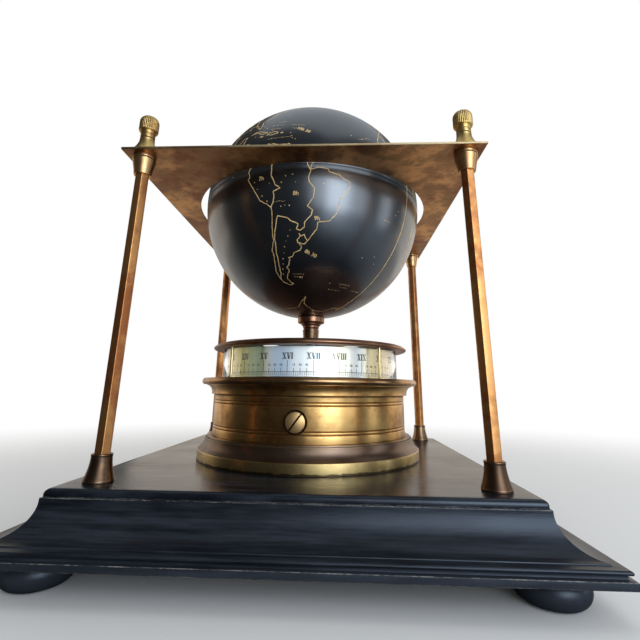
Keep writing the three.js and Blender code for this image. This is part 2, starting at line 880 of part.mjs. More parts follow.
piece(
  "globe_upper_shell",
  turned(
    [
      ...arc(
        0,
        seamZ,
        globeR,
        globeR,
        poleAngle(globeR, 2 * seatGap),
        90 - poleAngle(globeR, highHole),
        globeRings,
      ),
      ...arc(
        0,
        seamZ,
        shellInner,
        shellInner,
        90 - poleAngle(shellInner, highHole),
        poleAngle(shellInner, 2 * globeLapH),
        globeInnerRings,
      ),
      [shellInner, seamZ + 2 * seatGap],
    ],
    globeSteps,
  ),
  blackLacquer,
);
const poleNutZ = outerPoleZ + seatGap;
piece(
  "pole_nut",
  turned(
    [
      [highHole, poleNutZ],
      [poleNutR, poleNutZ],
      [poleNutR, poleNutZ + poleNutH / 2],
      [poleNutR / 2, poleNutZ + poleNutH],
      [0, poleNutZ + poleNutH],
      [0, poleNutZ + poleNutH / 2 + seatGap],
      [highHole, poleNutZ + poleNutH / 2 + seatGap],
    ],
    narrowSteps,
  ),
  paleBrass,
);

// Wheelwork. The pinion turns twice a day. It drives the globe's wheel half as fast the other way,
// and the ring's wheel, through an idler, half as fast the same way.
const toothedWheel = (teeth, turn, z, thickness) =>
  solid(extruded(gearOutline(teeth, turn), z, z + thickness));
const boreOf = (shaft, gap, steps, from, to) =>
  solid(rod(boreRound(shaft, gap, steps), from - cutOverrun, to + cutOverrun, steps));
const hubBottom = lowWheelZ - wheelHubStandOut;
const hubTop = lowWheelZ + wheelT + wheelHubStandOut;
const globeWheel = toothedWheel(globeWheelTeeth, 0, lowWheelZ, wheelT)
  .add(solid(rod(wheelHubR, hubBottom, hubTop, narrowSteps)))
  .subtract(boreOf(spindleR, seatGap, narrowSteps, hubBottom, hubTop));
piece("globe_wheel", geometryOf(globeWheel), paleBrass);

const pinionDirection = Math.PI / 2;
const pinionTurn = meshedTurn(pinionDirection, globeWheelTeeth, 0, lowPinionTeeth);
const pinionTop = highWheelZ + wheelT + looseGap;
const hourPinion = toothedWheel(lowPinionTeeth, pinionTurn, lowWheelZ - looseGap, wheelT + 2 * looseGap)
  .add(toothedWheel(highPinionTeeth, pinionTurn, lowWheelZ + wheelT, pinionTop - lowWheelZ - wheelT))
  .add(solid(rod(pinionArborR, movementTop - pinionArborDepth + looseGap, pinionTop, rodSteps)));
piece("hour_pinion", geometryOf(hourPinion), steel).position.set(0, gearCentres, 0);

const idlerDirection = Math.atan2(idlerY - gearCentres, idlerX);
const idlerTurn = meshedTurn(idlerDirection, highPinionTeeth, pinionTurn, idlerTeeth);
const idlerZ = highWheelZ - looseGap / 2;
const idlerTop = idlerZ + wheelT + looseGap;
const idler = toothedWheel(idlerTeeth, idlerTurn, idlerZ, wheelT + looseGap).subtract(
  boreOf(idlerStudR, runGap, rodSteps, idlerZ, idlerTop),
);
piece("idler_wheel", geometryOf(idler), paleBrass).position.set(idlerX, idlerY, 0);
const idlerStudTop = idlerTop + looseGap;
piece(
  "idler_stud",
  turned(
    [
      [0, deckUnder + looseGap],
      [idlerStudR, deckUnder + looseGap],
      [idlerStudR, deckTop + seatGap],
      [idlerShoulderR, deckTop + seatGap],
      [idlerShoulderR, idlerZ - looseGap / 2],
      [idlerStudR, idlerZ - looseGap / 2],
      [idlerStudR, idlerStudTop],
      [0, idlerStudTop],
    ],
    rodSteps,
  ),
  steel,
).position.set(idlerX, idlerY, 0);

const ringWheelDirection = Math.atan2(-idlerY, -idlerX);
const ringWheelTurn = meshedTurn(ringWheelDirection, idlerTeeth, idlerTurn, ringWheelTeeth);
const ringWheel = toothedWheel(ringWheelTeeth, ringWheelTurn, highWheelZ, wheelT).subtract(
  boreOf(carrierHubR, seatGap, narrowSteps, highWheelZ, highWheelZ + wheelT),
);
piece("ring_wheel", geometryOf(ringWheel), paleBrass);

// The hour ring and the pierced carrier that holds it, free on the spindle.
const carrierR = ringR - ringT - seatGap;
const carrierHubBottom = hubTop + endGap / 2;
let carrier = solid(
  turned(
    [
      [spindleBoreR, carrierHubBottom],
      [carrierHubR, carrierHubBottom],
      [carrierHubR, webZ],
      [carrierR - carrierRimT, webZ],
      [carrierR, webZ],
      [carrierR, webZ + carrierRimH],
      [carrierR - carrierRimT, webZ + carrierRimH],
      [carrierR - carrierRimT, webZ + carrierWebT],
      [carrierHubR, webZ + carrierWebT],
      [carrierHubR, webZ + carrierWebT + wheelHubStandOut],
      [spindleBoreR, webZ + carrierWebT + wheelHubStandOut],
    ],
    wideSteps,
  ),
);
const carrierHoleOut = (carrierHubR + carrierR) / 2;
for (let i = 0; i < carrierHoleCount; i += 1) {
  const angle = (i * 2 * Math.PI) / carrierHoleCount;
  const hole = rod(carrierHoleR, webZ - cutOverrun, webZ + carrierWebT + cutOverrun, rodSteps);
  carrier = carrier.subtract(
    solid(hole.translate(carrierHoleOut * Math.cos(angle), carrierHoleOut * Math.sin(angle), 0)),
  );
}
piece("ring_carrier", geometryOf(carrier), paleBrass);
piece(
  "hour_ring",
  turned(
    [
      [ringR - ringT, deckTop + ringLift],
      [ringR, deckTop + ringLift],
      [ringR, capUnder - ringHeadroom],
      [ringR - ringT, capUnder - ringHeadroom],
    ],
    wideSteps,
  ),
  silvered,
);

// Battery movement, hung under the deck by its threaded pipe and nut.
const roundedSquare = new THREE.Shape();
const side = movementW / 2;
roundedSquare.moveTo(-side + movementCornerR, -side);
for (const [x, y, from] of [
  [side, -side, -90],
  [side, side, 0],
  [-side, side, 90],
  [-side, -side, 180],
]) {
  const centreX = x - Math.sign(x) * movementCornerR;
  const centreY = y - Math.sign(y) * movementCornerR;
  for (const [px, py] of arc(centreX, centreY, movementCornerR, movementCornerR, from, from + 90, ovoloSteps)) {
    roundedSquare.lineTo(px, py);
  }
}
const batteryZ = movementBottom + batteryR + looseGap;
const batteryY = batterySideWall + batteryRoom - side;
const trough = rod(batteryRoom, -batteryRoomL / 2, batteryRoomL / 2, narrowSteps).rotateY(Math.PI / 2);
const troughMouth = block(batteryRoomL, 2 * batteryRoom, movementBottom - cutOverrun, batteryZ);
const pipeEnd = deckTop + pipeTop;
const arborRoom = rod(
  boreRound(pinionArborR, runGap, rodSteps),
  movementTop - pinionArborDepth,
  pipeEnd + cutOverrun,
  rodSteps,
);
const stemRoom = rod(
  boreRound(knobStemR, runGap, rodSteps),
  movementBottom - cutOverrun,
  movementBottom + knobStemL,
  rodSteps,
);
const movementBody = new THREE.ExtrudeGeometry(roundedSquare, { depth: movementT, bevelEnabled: false });
const movementCase = solid(movementBody.translate(0, 0, movementBottom))
  .add(solid(rod(pipeR, movementTop - movementT / 2, pipeEnd, rodSteps)))
  .subtract(solid(arborRoom))
  .subtract(solid(stemRoom))
  .subtract(solid(trough.translate(0, batteryY, batteryZ)))
  .subtract(solid(troughMouth.translate(0, batteryY, 0)));
piece("movement_case", geometryOf(movementCase), blackPlastic).position.set(0, gearCentres, 0);

const pipeNutTop = deckTop + pipeNutT;
const pipeNutR = (2 * (pipeR + pipeNutWall)) / Math.sqrt(3);
const pipeNut = solid(rod(pipeNutR, deckTop + seatGap, pipeNutTop, hexSides)).subtract(
  boreOf(pipeR, seatGap, rodSteps, deckTop, pipeNutTop),
);
piece("movement_nut", geometryOf(pipeNut), paleBrass).position.set(0, gearCentres, 0);

const battery = turned(
  [
    [0, -batteryL / 2],
    [batteryR, -batteryL / 2],
    [batteryR, batteryL / 2],
    [batteryNubR, batteryL / 2],
    [batteryNubR, batteryL / 2 + batteryNubL],
    [0, batteryL / 2 + batteryNubL],
  ],
  narrowSteps,
).rotateY(Math.PI / 2);
piece("battery", battery, batteryJacket).position.set(-batteryNubL / 2, gearCentres + batteryY, batteryZ);

const knobTop = movementBottom - endGap;
const knobStem = rod(knobStemR, knobTop - knobT / 2, movementBottom + knobStemL - looseGap, rodSteps);
const knobOutline = flutedOutline(knobR, knobFluteDepth, knobFlutes);
const settingKnob = solid(extruded(knobOutline, knobTop - knobT, knobTop)).add(solid(knobStem));
piece("setting_knob", geometryOf(settingKnob), blackPlastic).position.set(0, gearCentres, 0);

export default clock;
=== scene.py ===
import math

import bmesh
import bpy
import numpy as np
from mathutils import Matrix, Vector


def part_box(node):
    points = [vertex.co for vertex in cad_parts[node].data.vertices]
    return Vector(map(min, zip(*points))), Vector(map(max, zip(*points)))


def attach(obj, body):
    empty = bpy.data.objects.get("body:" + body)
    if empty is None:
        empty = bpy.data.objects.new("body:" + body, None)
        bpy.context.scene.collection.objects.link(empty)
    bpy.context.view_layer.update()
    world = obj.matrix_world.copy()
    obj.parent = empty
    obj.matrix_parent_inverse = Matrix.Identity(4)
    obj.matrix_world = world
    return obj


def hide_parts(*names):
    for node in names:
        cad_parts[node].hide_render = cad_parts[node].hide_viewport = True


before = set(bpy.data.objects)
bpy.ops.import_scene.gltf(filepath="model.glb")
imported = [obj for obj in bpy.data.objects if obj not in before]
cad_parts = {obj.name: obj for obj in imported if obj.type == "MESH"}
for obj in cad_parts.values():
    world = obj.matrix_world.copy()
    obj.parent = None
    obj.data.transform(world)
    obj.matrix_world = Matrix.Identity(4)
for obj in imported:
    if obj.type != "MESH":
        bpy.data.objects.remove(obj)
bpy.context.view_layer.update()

# Camera
# The photograph was taken from low down in front, a little to the right of the middle and looking up, with a
# wide lens. Its picture was cropped, which moved the lens's middle off the picture's.
MM = 0.001
eye = Vector((20.61, -280.67, 75.38)) * MM
yaw, pitch, roll = (math.radians(angle) for angle in (-2.681, 15.452, 0.655))
picture_side = 640
focal_pixels = 406.42
lens_middle_x, lens_middle_y = 322.34, 275.06


def added(name, data):
    """A new object in the scene."""
    made = bpy.data.objects.new(name, data)
    bpy.context.collection.objects.link(made)
    return made


camera = added("viewpoint", bpy.data.cameras.new("viewpoint"))
camera.matrix_world = (
    Matrix.Translation(eye)
    @ Matrix.Rotation(-yaw, 4, "Z")
    @ Matrix.Rotation(math.pi / 2 + pitch, 4, "X")
    @ Matrix.Rotation(roll, 4, "Z")
)
film_width = 36  # mm
camera.data.sensor_width = film_width
camera.data.lens = film_width * focal_pixels / picture_side
camera.data.shift_x = (picture_side / 2 - lens_middle_x) / picture_side
camera.data.shift_y = (lens_middle_y - picture_side / 2) / picture_side
camera.data.clip_start = 10 * MM
bpy.context.scene.camera = camera
bpy.context.scene.view_settings.view_transform = "Standard"


# Room and light
# The clock stands on a pale studio floor in a white room. A tall window is in front, a narrow one to the
# right and dim ones are behind; brass and lacquer show them as the bright bands that tell their shape.
class Wire:
    """A shader socket whose arithmetic adds Math nodes, such as 1 - mask or height * 3."""

    def __init__(self, finish, socket):
        self.finish = finish
        self.socket = socket

    def math(self, operation, *others):
        return self.finish.node("ShaderNodeMath", {"operation": operation}, dict(enumerate((self, *others))))

    def __add__(self, other):
        return self.math("ADD", other)

    def __sub__(self, other):
        return self.math("SUBTRACT", other)

    def __rsub__(self, other):
        return self.finish.node("ShaderNodeMath", {"operation": "SUBTRACT"}, {0: other, 1: self})

    def __mul__(self, other):
        return self.math("MULTIPLY", other)

    __radd__ = __add__
    __rmul__ = __mul__


class Finish:
    """A material or world in the making. `node` adds any node; the rest are this clock's patterns."""

    def __init__(self, owner):
        owner.use_nodes = True
        self.owner = owner
        self.tree = owner.node_tree
        self.tree.nodes.clear()

    def node(self, kind, settings, sockets, output=0):
        """Adds a node: its settings first, then the value or link of each socket, by name or number."""
        made = self.tree.nodes.new(kind)
        for name, value in settings.items():
            setattr(made, name, value)
        for name, value in sockets.items():
            socket = made.inputs[name]
            if isinstance(value, Wire):
                self.tree.links.new(value.socket, socket)
            elif socket.type == "RGBA":
                socket.default_value = (*value, 1)
            else:
                socket.default_value = value
        return Wire(self, made.outputs[output]) if made.outputs else None

    def mark(self, name, output):
        """A mark that the mesh carries from point to point."""
        return self.node("ShaderNodeAttribute", {"attribute_name": name}, {}, output)

    def place(self, stretch=(1, 1, 1)):
        """Where a point lies on the piece, in metres, with each axis stretched by its own factor."""
        here = self.node("ShaderNodeTexCoord", {}, {}, "Object")
        return self.node("ShaderNodeVectorMath", {"operation": "MULTIPLY"}, {0: here, 1: stretch})

    def coordinate(self, axis):
        """How far a point lies along X, Y or Z, in metres."""
        parts = self.node("ShaderNodeSeparateXYZ", {}, {0: self.place()})
        return Wire(self, parts.socket.node.outputs[axis])

    def noise(self, size, detail=2, stretch=(1, 1, 1), place=None, sharpness=0.5):
        """Cloudy noise from 0 to 1 whose blots are about `size` metres across."""
        sockets = {"Vector": place or self.place(stretch), "Scale": 1 / size, "Detail": detail,
                   "Roughness": sharpness}
        return self.node("ShaderNodeTexNoise", {}, sockets, "Fac")

    def between(self, value, low, high):
        """0 below `low`, 1 above `high` and a soft step from one to the other."""
        sockets = {"Value": value, "From Min": low, "From Max": high}
        return self.node("ShaderNodeMapRange", {"interpolation_type": "SMOOTHSTEP"}, sockets)

    def mix(self, share, first, second):
        """The first colour where the share is 0, the second where it is 1."""
        return self.node("ShaderNodeMix", {"data_type": "RGBA"}, {0: share, 6: first, 7: second}, 2)

    def bump(self, height, depth, under=None):
        """The normal of a relief `depth` metres deep, laid over the relief `under`."""
        sockets = {"Height": height, "Distance": depth}
        if under:
            sockets["Normal"] = under
        return self.node("ShaderNodeBump", {}, sockets, "Normal")

    def cover(self, sockets):
        """Ends the material with a Principled surface that has these sockets."""
        skin = self.node("ShaderNodeBsdfPrincipled", {}, sockets)
        self.node("ShaderNodeOutputMaterial", {}, {"Surface": skin})
        return self.owner


def new_finish(name):
    """A new material, its tree still empty."""
    return Finish(bpy.data.materials.new(name))


def seen_by(finish):
    """1 for a ray that the eye sends, straight or through glass, and 0 for any other."""
    camera_ray = finish.node("ShaderNodeLightPath", {}, {}, "Is Camera Ray")
    return camera_ray.math("MAXIMUM", Wire(finish, camera_ray.socket.node.outputs["Is Transmission Ray"]))


world = bpy.data.worlds.new("white_room")
bpy.context.scene.world = world
room = Finish(world)
room_in_metal, room_on_matt = 0.05, 0.40
mirrored = room.node("ShaderNodeLightPath", {}, {}, "Is Glossy Ray")
looked_at = seen_by(room)
glow = looked_at + (1 - looked_at) * (mirrored * room_in_metal + (1 - mirrored) * room_on_matt)
backdrop = room.node("ShaderNodeBackground", {}, {"Color": (1, 1, 1), "Strength": glow})
room.node("ShaderNodeOutputWorld", {}, {"Surface": backdrop})

floor_reach, fade_start, fade_end = 6.0, 0.22, 0.75
floor_mesh = bpy.data.meshes.new("studio_floor")
floor_corners = [(x * floor_reach, y * floor_reach, 0) for x, y in ((-1, -1), (1, -1), (1, 1), (-1, 1))]
floor_mesh.from_pydata(floor_corners, [], [(0, 1, 2, 3)])
floor = added("studio_floor", floor_mesh)
paper = new_finish("pale_paper")
paper_tone = paper.mix(paper.noise(0.4), (0.86, 0.86, 0.85), (0.90, 0.90, 0.89))
paper_x, paper_y = paper.coordinate("X"), paper.coordinate("Y")
# Painted light and shade, seen only in reflections: in front the floor is painted dark on the left and cool
# grey on the right, and behind it is a warm mid grey.
painted_front_light_shade = paper.mix(paper.between(paper_x, 0.0, 0.34), (0.05, 0.05, 0.05), (0.34, 0.38, 0.43))
reflected_tone_painted_light = paper.mix(paper.between(paper_y, -0.05, 0.25), painted_front_light_shade, (0.56, 0.53, 0.50))
# A pool of the window's light is painted pale blue on the floor before it, seen in reflections and not by the
# eye.
window_x, window_y = 0.42, -0.91
away, aside = paper_x * window_x + paper_y * window_y, paper_x * -window_y + paper_y * window_x
painted_light_pool = paper.between(away, 0.20, 0.44) * paper.between(aside * aside, 0.020, 0.001)
reflected_tone_painted_light = paper.mix(painted_light_pool, reflected_tone_painted_light, (0.62, 0.68, 0.74))
paper_colour = paper.mix(seen_by(paper), reflected_tone_painted_light, paper_tone)
paper_skin = paper.node("ShaderNodeBsdfDiffuse", {}, {"Color": paper_colour})
far = paper.node("ShaderNodeVectorMath", {"operation": "LENGTH"}, {0: paper.place()}, "Value")
white = paper.node("ShaderNodeEmission", {}, {"Color": (1, 1, 1), "Strength": 1.0})
faded = paper.between(far, fade_start, fade_end) * seen_by(paper)
paper.node("ShaderNodeOutputMaterial", {}, {
    "Surface": paper.node("ShaderNodeMixShader", {}, {0: faded, 1: paper_skin, 2: white}),
})
floor_mesh.materials.append(paper.owner)

clock_middle = Vector((0, 0, 0.16))
white_pane = 4  # watts to a square metre of pane, where a brightness of 1 looks white


def window(name, azimuth, elevation, distance, width, height, brightness, colour):
    """A flat lamp facing the clock from an azimuth (0 in front, 90 to the right) and an elevation."""
    lamp = bpy.data.lights.new(name, "AREA")
    lamp.shape = "RECTANGLE"
    lamp.size, lamp.size_y = width, height
    lamp.energy = white_pane * width * height * brightness
    lamp.color = colour
    turn, rise = math.radians(azimuth), math.radians(elevation)
    away = Vector((math.sin(turn) * math.cos(rise), -math.cos(turn) * math.cos(rise), math.sin(rise)))
    pane = added(name, lamp)
    pane.location = clock_middle + away * distance
    pane.rotation_euler = away.to_track_quat("Z", "Y").to_euler()
    pane.visible_camera = False


cool, warm = (0.86, 0.93, 1.0), (1.0, 0.93, 0.84)
window("front_window", 29, 12, 0.75, 0.80, 0.66, 1.15, cool)
window("window_middle", 27, 2, 0.72, 0.27, 0.52, 2.6, (0.77, 0.87, 1.0))
window("right_strip", 79, 4, 0.9, 0.20, 0.62, 1.35, cool)
window("right_wall", 128, 8, 1.3, 1.0, 0.8, 0.7, warm)
window("left_wall", -132, 8, 1.3, 0.7, 0.7, 0.5, warm)
window("left_room", -108, 8, 1.2, 0.45, 0.8, 0.5, (1.0, 0.84, 0.70))
window("back_wall", 180, 12, 1.6, 1.8, 0.9, 0.6, (1.0, 0.89, 0.76))
window("skylight", 150, 78, 1.5, 1.7, 1.7, 0.43, cool)


# Wooden stand
# Four lengths of moulding, mitred at the corners and ebonised, make a frame with a hollow cove over a bead,
# a groove and a plain band. A square board with a rounded lip lies on it, and a bare one closes it below.
def mm(*sizes):
    """Sizes in metres from millimetres."""
    return [size * MM for size in sizes]


def box_of(node):
    """A CAD node's lowest and highest corner as arrays, in metres."""
    low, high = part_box(node)
    return np.array(low), np.array(high)


def arc(centre, radii, start, end, steps):
    """Points on an ellipse: centre + (radius_out cos a, radius_up sin a), a from start to end in degrees."""
    a = np.radians(np.linspace(start, end, steps + 1))
    return np.array(centre) + np.stack([radii[0] * np.cos(a), radii[1] * np.sin(a)], 1)


def eased(outline, radius, steps=4, closed=True):
    """Rounds each corner of an outline. On both its sides a point is set off by the radius, or by half the
    side where that is less, and a curve a(1-t)^2 + 2bt(1-t) + ct^2 runs between the two past the corner."""
    corner = np.asarray(outline, float)
    before, after = np.roll(corner, 1, 0) - corner, np.roll(corner, -1, 0) - corner
    t = np.linspace(0, 1, steps + 1)[None, :, None]

    def off(side):
        length = np.linalg.norm(side, axis=1, keepdims=True)
        return corner + side / length * np.minimum(radius, length / 2)

    start, end = off(before)[:, None], off(after)[:, None]
    curve = start * (1 - t) ** 2 + 2 * corner[:, None] * t * (1 - t) + end * t ** 2
    if closed:
        return curve.reshape(-1, 2)
    return np.concatenate([corner[:1], curve[1:-1].reshape(-1, 2), corner[-1:]])


clear_bend = 0.35  # the sine of the least turn that counts as a corner


def edge_marks(line, outline, reach):
    """Marks for the points of an eased line: 1 on the outward corners of its outline and -1 in the inward
    ones, fading to 0 over the reach. An outward corner turns the way that the outline runs round."""
    outline = np.asarray(outline, float)
    before, after = outline - np.roll(outline, 1, 0), np.roll(outline, -1, 0) - outline
    cross = before[:, 0] * after[:, 1] - before[:, 1] * after[:, 0]
    x, y = outline.T
    sense = np.sign(np.sum(x * np.roll(y, -1) - np.roll(x, -1) * y))
    bend = sense * cross / (np.linalg.norm(before, axis=1) * np.linalg.norm(after, axis=1) + 1e-12)
    marks = np.zeros(len(line))
    for sign in (1, -1):
        corner = outline[sign * bend > clear_bend]
        if len(corner):
            apart = np.linalg.norm(line[:, None] - corner[None], axis=2).min(1)
            marks += sign * np.clip(1 - apart / reach, 0, 1)
    return marks


crease = math.radians(32)
nearby, coarse_nearby = 1e-8, 1e-7  # metres between points that are one
# How a mark is kept, by the dimensions of its values: one number or three for each corner of a face.
marked_as = {2: ("FLOAT", "value"), 3: ("FLOAT_VECTOR", "vector")}


def smoothed(mesh):
    """Shades a mesh round but for its creases."""
    mesh.polygons.foreach_set("use_smooth", [True] * len(mesh.polygons))
    mesh.set_sharp_from_angle(angle=crease)


def mesh_piece(name, points, faces, merge=nearby, close=False, marks={}):
    """A piece from shells of points and faces. Points nearer than `merge` become one, open ends may be
    closed by a flat face, and all faces are turned to point outwards."""
    mesh = bpy.data.meshes.new(name)
    mesh.from_pydata(np.asarray(points).reshape(-1, 3).tolist(), [], faces)
    for mark, values in marks.items():
        kind, field = marked_as[values.ndim]
        made = mesh.attributes.new(mark, kind, "POINT")
        made.data.foreach_set(field, np.ascontiguousarray(values).ravel())
    shape = bmesh.new()
    shape.from_mesh(mesh)
    bmesh.ops.remove_doubles(shape, verts=shape.verts, dist=merge)
    if close:
        bmesh.ops.dissolve_degenerate(shape, edges=shape.edges, dist=nearby)
        bmesh.ops.holes_fill(shape, edges=[e for e in shape.edges if e.is_boundary], sides=0)
    bmesh.ops.recalc_face_normals(shape, faces=shape.faces)
    shape.to_mesh(mesh)
    shape.free()
    return added(name, mesh)


def surface(name, grid, wrap_rows, wrap_columns, marks={}):
    """The skin of a grid of points [row, column, xyz]: each cell is a face between (i, j), (i, j+1),
    (i+1, j+1) and (i+1, j). Wrapped rows or columns join the last to the first."""
    rows, columns = grid.shape[:2]
    i = np.arange(rows if wrap_rows else rows - 1)[:, None]
    j = np.arange(columns if wrap_columns else columns - 1)[None, :]
    low, high = i * columns, (i + 1) % rows * columns
    left, right = j, (j + 1) % columns
    faces = np.stack([low + left, low + right, high + right, high + left], 2).reshape(-1, 4)
    piece = mesh_piece(name, grid, faces.tolist(), coarse_nearby, True, marks)
    smoothed(piece.data)
    return piece


def fit(piece, material, slot, body, *replaced):
    """Gives a piece its finish unless it has one and its CAD body, and hides the CAD nodes that it stands
    for.
    The slot is not used."""
    if material:
        piece.data.materials.clear()
        piece.data.materials.append(material)
    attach(piece, body)
    if replaced:
        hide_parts(*replaced)


def dress(material, *names):
    """Gives CAD nodes that stay in view their material."""
    for name in names:
        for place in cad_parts[name].material_slots:
            place.material = material


def ebony_finish(name, gloss, relief, fibre_relief):
    """Black lacquer over wood: long grain under a soft gloss, rubbed pale here and there on the edges,
    flecked with dust, and painted a lighter bluish grey low down as a painted sheen. The mark grain is
    (along, across, side) in metres; the mark edge is 1 on outward corners."""
    wood = new_finish(name)
    grain, edge = wood.mark("grain", "Vector"), wood.mark("edge", "Fac")
    along = wood.node("ShaderNodeVectorMath", {"operation": "MULTIPLY"}, {0: grain, 1: (0.07, 1, 1)})
    fibre = wood.noise(1.1 * MM, 4, place=along, sharpness=0.6)
    streak = wood.noise(4 * MM, 3, place=along)
    patchy = wood.noise(14 * MM, 4, place=grain, sharpness=0.6)
    worn = wood.between(edge * 0.7 + patchy * 0.5 + wood.noise(1.6 * MM, 3, place=grain) * 0.4, 0.90, 1.07)
    cloud = wood.noise(30 * MM, 3, place=grain)
    dust = wood.between(wood.noise(0.9 * MM, 2, place=grain), 0.72, 0.78)
    opened = wood.between(streak * 0.6 + fibre * 0.4, 0.35, 0.7)
    black = wood.mix(opened, (0.004, 0.005, 0.008), (0.026, 0.032, 0.044))
    # The pale flecks are dust. The feet and low mouldings are painted a lighter bluish grey, a painted sheen
    # that stands in for the window's reflection.
    low = wood.between(wood.coordinate("Z"), 17 * MM, 10 * MM)
    dust_and_sheen = wood.mix(dust * 0.35, black, (0.10, 0.10, 0.10))
    dust_and_sheen = wood.mix(low * (0.3 + cloud * 0.5), dust_and_sheen, (0.055, 0.064, 0.08))
    return wood.cover({
        "Base Color": wood.mix(worn * 0.8, dust_and_sheen, (0.29, 0.27, 0.24)),
        "Roughness": gloss + fibre * 0.12 + streak * 0.10 + cloud * 0.20 + worn * 0.2,
        "Normal": wood.bump(cloud, relief, wood.bump(fibre, fibre_relief)),
        "Specular IOR Level": 0.6,
        # Painted sheen: the bluish specular tint colours the lacquer's reflections cool.
        "Specular Tint": (0.74, 0.85, 1.0),
    })


ebony = ebony_finish("ebonised_wood", 0.16, 0.3 * MM, 0.06 * MM)
lip_low, lip_high = box_of("top_board")
front_low, front_high = box_of("plinth_moulding_front")
stand_half, lip_half, stand_top = -front_low[1], lip_high[0], lip_high[2]
foot_top, moulding_top = front_low[2], front_high[2]
moulding_inner = -front_high[1]
mitre_gap = 0.05 * MM
band_h, groove_h, groove_in, bead_h, bead_in = mm(2.7, 1.4, 2.2, 1.5, 0.8)
fillet_h, fillet_in, cove_h, cove_w = mm(0.4, 5.3, 12.5, 12)
band_top = foot_top + band_h
bead_low = band_top + groove_h
bead_top = bead_low + bead_h
cove_low, cove_out = bead_top + fillet_h, stand_half - fillet_in
moulding_section = np.array([
    [moulding_inner, foot_top],
    [stand_half, foot_top],
    [stand_half, band_top],
    [stand_half - groove_in, band_top],
    [stand_half - groove_in, bead_low],
    *arc((stand_half - bead_in - bead_h / 2, bead_low + bead_h / 2), (bead_h / 2, bead_h / 2), -90, 90, 12),
    [cove_out, bead_top],
    *arc((cove_out, cove_low + cove_h), (cove_w, cove_h), 270, 180, 28),
    [cove_out - cove_w, moulding_top],
    [moulding_inner, moulding_top],
])
edge_ease, rub_reach = 0.35 * MM, 0.7 * MM
moulding_line = eased(moulding_section, edge_ease, 3)


def along_line(line):
    """How far each point of a line lies from its first, along the line."""
    step = np.linalg.norm(np.diff(line, axis=0), axis=1)
    return np.concatenate([[0], np.cumsum(step)])


# Shares of the half length, closer to one another near the mitres.
run = np.concatenate([np.linspace(-1, -0.97, 5), np.linspace(-0.96, 0.96, 97), np.linspace(0.97, 1, 5)])
moulding_edge = edge_marks(moulding_line, moulding_section, rub_reach)
for side, name in enumerate(("front", "right", "back", "left")):
    out, up = moulding_line[:, None, 0], moulding_line[:, None, 1]
    along = run[None] * (out - mitre_gap)
    turn = side * math.pi / 2
    grid = np.stack([
        along * math.cos(turn) + out * math.sin(turn),
        along * math.sin(turn) - out * math.cos(turn),
        np.broadcast_to(up, along.shape),
    ], 2)
    across = np.broadcast_to(along_line(moulding_line)[:, None], along.shape)
    marks = {
        "grain": np.stack([along, across, np.full(along.shape, side * 1.0)], 2),
        "edge": np.broadcast_to(moulding_edge[:, None], along.shape),
    }
    moulding = surface("moulding_" + name, grid, True, False, marks)
    fit(moulding, ebony, "ebonised_wood", "stand", "plinth_moulding_" + name)


def turning(angle):
    """The matrix that turns rows of (x, y) to the left when they are multiplied by it."""
    return np.array([[math.cos(angle), math.sin(angle)], [-math.sin(angle), math.cos(angle)]])


def squared_ring(name, rows, corner_r, side_steps, corner_steps, marks={}):
    """A closed band round an upright axis whose rows go from circles to rounded squares.
    A row is (share, radius, half, height): the point in each direction is the circle's times 1 - share plus
    the square's times share. The square is four arcs of the corner radius joined by straight sides."""
    def square(half):
        inner = half - corner_r
        corner = arc((inner, inner), (corner_r, corner_r), 0, 90, corner_steps)
        t = np.linspace(0, 1, side_steps + 1)[1:-1, None]
        quarter = np.concatenate([corner, corner[-1:] * (1 - t) + t * corner[-1:] * [-1, 1]])
        return np.concatenate([quarter @ turning(side * math.pi / 2) for side in range(4)])

    rows = np.asarray(rows, float)
    outlines = np.stack([square(half) for half in rows[:, 2]])
    direction = np.arctan2(outlines[0, :, 1], outlines[0, :, 0])
    circle = np.stack([np.cos(direction), np.sin(direction)], 1)[None] * rows[:, 1, None, None]
    share = rows[:, 0, None, None]
    flat = circle * (1 - share) + outlines * share
    grid = np.concatenate([flat, np.broadcast_to(rows[:, 3, None, None], (*flat.shape[:2], 1))], 2)
    return surface(name, grid, True, True, {mark: values(grid) for mark, values in marks.items()})


board_low = lip_low[2]
lip_low_z = moulding_top + 0.05 * MM
board_half = moulding_inner - 0.3 * MM
nose_r, well_r = 2.1 * MM, 46 * MM
lip_nose = arc((lip_half - nose_r, stand_top - nose_r), (nose_r, nose_r), 0, 90, 10)
lip_section = np.array([
    [board_half, board_low],
    [board_half, lip_low_z],
    [lip_half, lip_low_z],
    *lip_nose,
])
lip_line = eased(lip_section, 0.3 * MM, 3, closed=False)
board_rows = [(0, well_r, lip_half, board_low)]
board_rows += [(1, well_r, half, z) for half, z in lip_line]
board_rows += [(share, well_r, lip_half - nose_r, stand_top) for share in np.linspace(0.96, 0, 12)]


own_length = 7.0  # the mouldings, whose grain must differ, have 0 to 3 here


def board_grain(grid):
    """Grain from left to right, in a length of wood of its own."""
    return np.concatenate([grid[..., :2], np.full((*grid.shape[:2], 1), own_length)], 2)


def board_edge(grid):
    """1 on the lip's lower corner, where the lacquer rubs off."""
    half = np.abs(grid[..., :2]).max(2)
    near = np.clip(1 - np.abs(grid[..., 2] - lip_low_z) / rub_reach, 0, 1)
    return near * (half > lip_half - 0.8 * MM)


board_marks = {"grain": board_grain, "edge": board_edge}
top_board = squared_ring("top_board_lipped", board_rows, 1.0 * MM, 48, 6, board_marks)
polished = ebony_finish("polished_ebony", 0.03, 0.08 * MM, 0.010 * MM)
fit(top_board, polished, "ebonised_wood", "stand", "top_board")

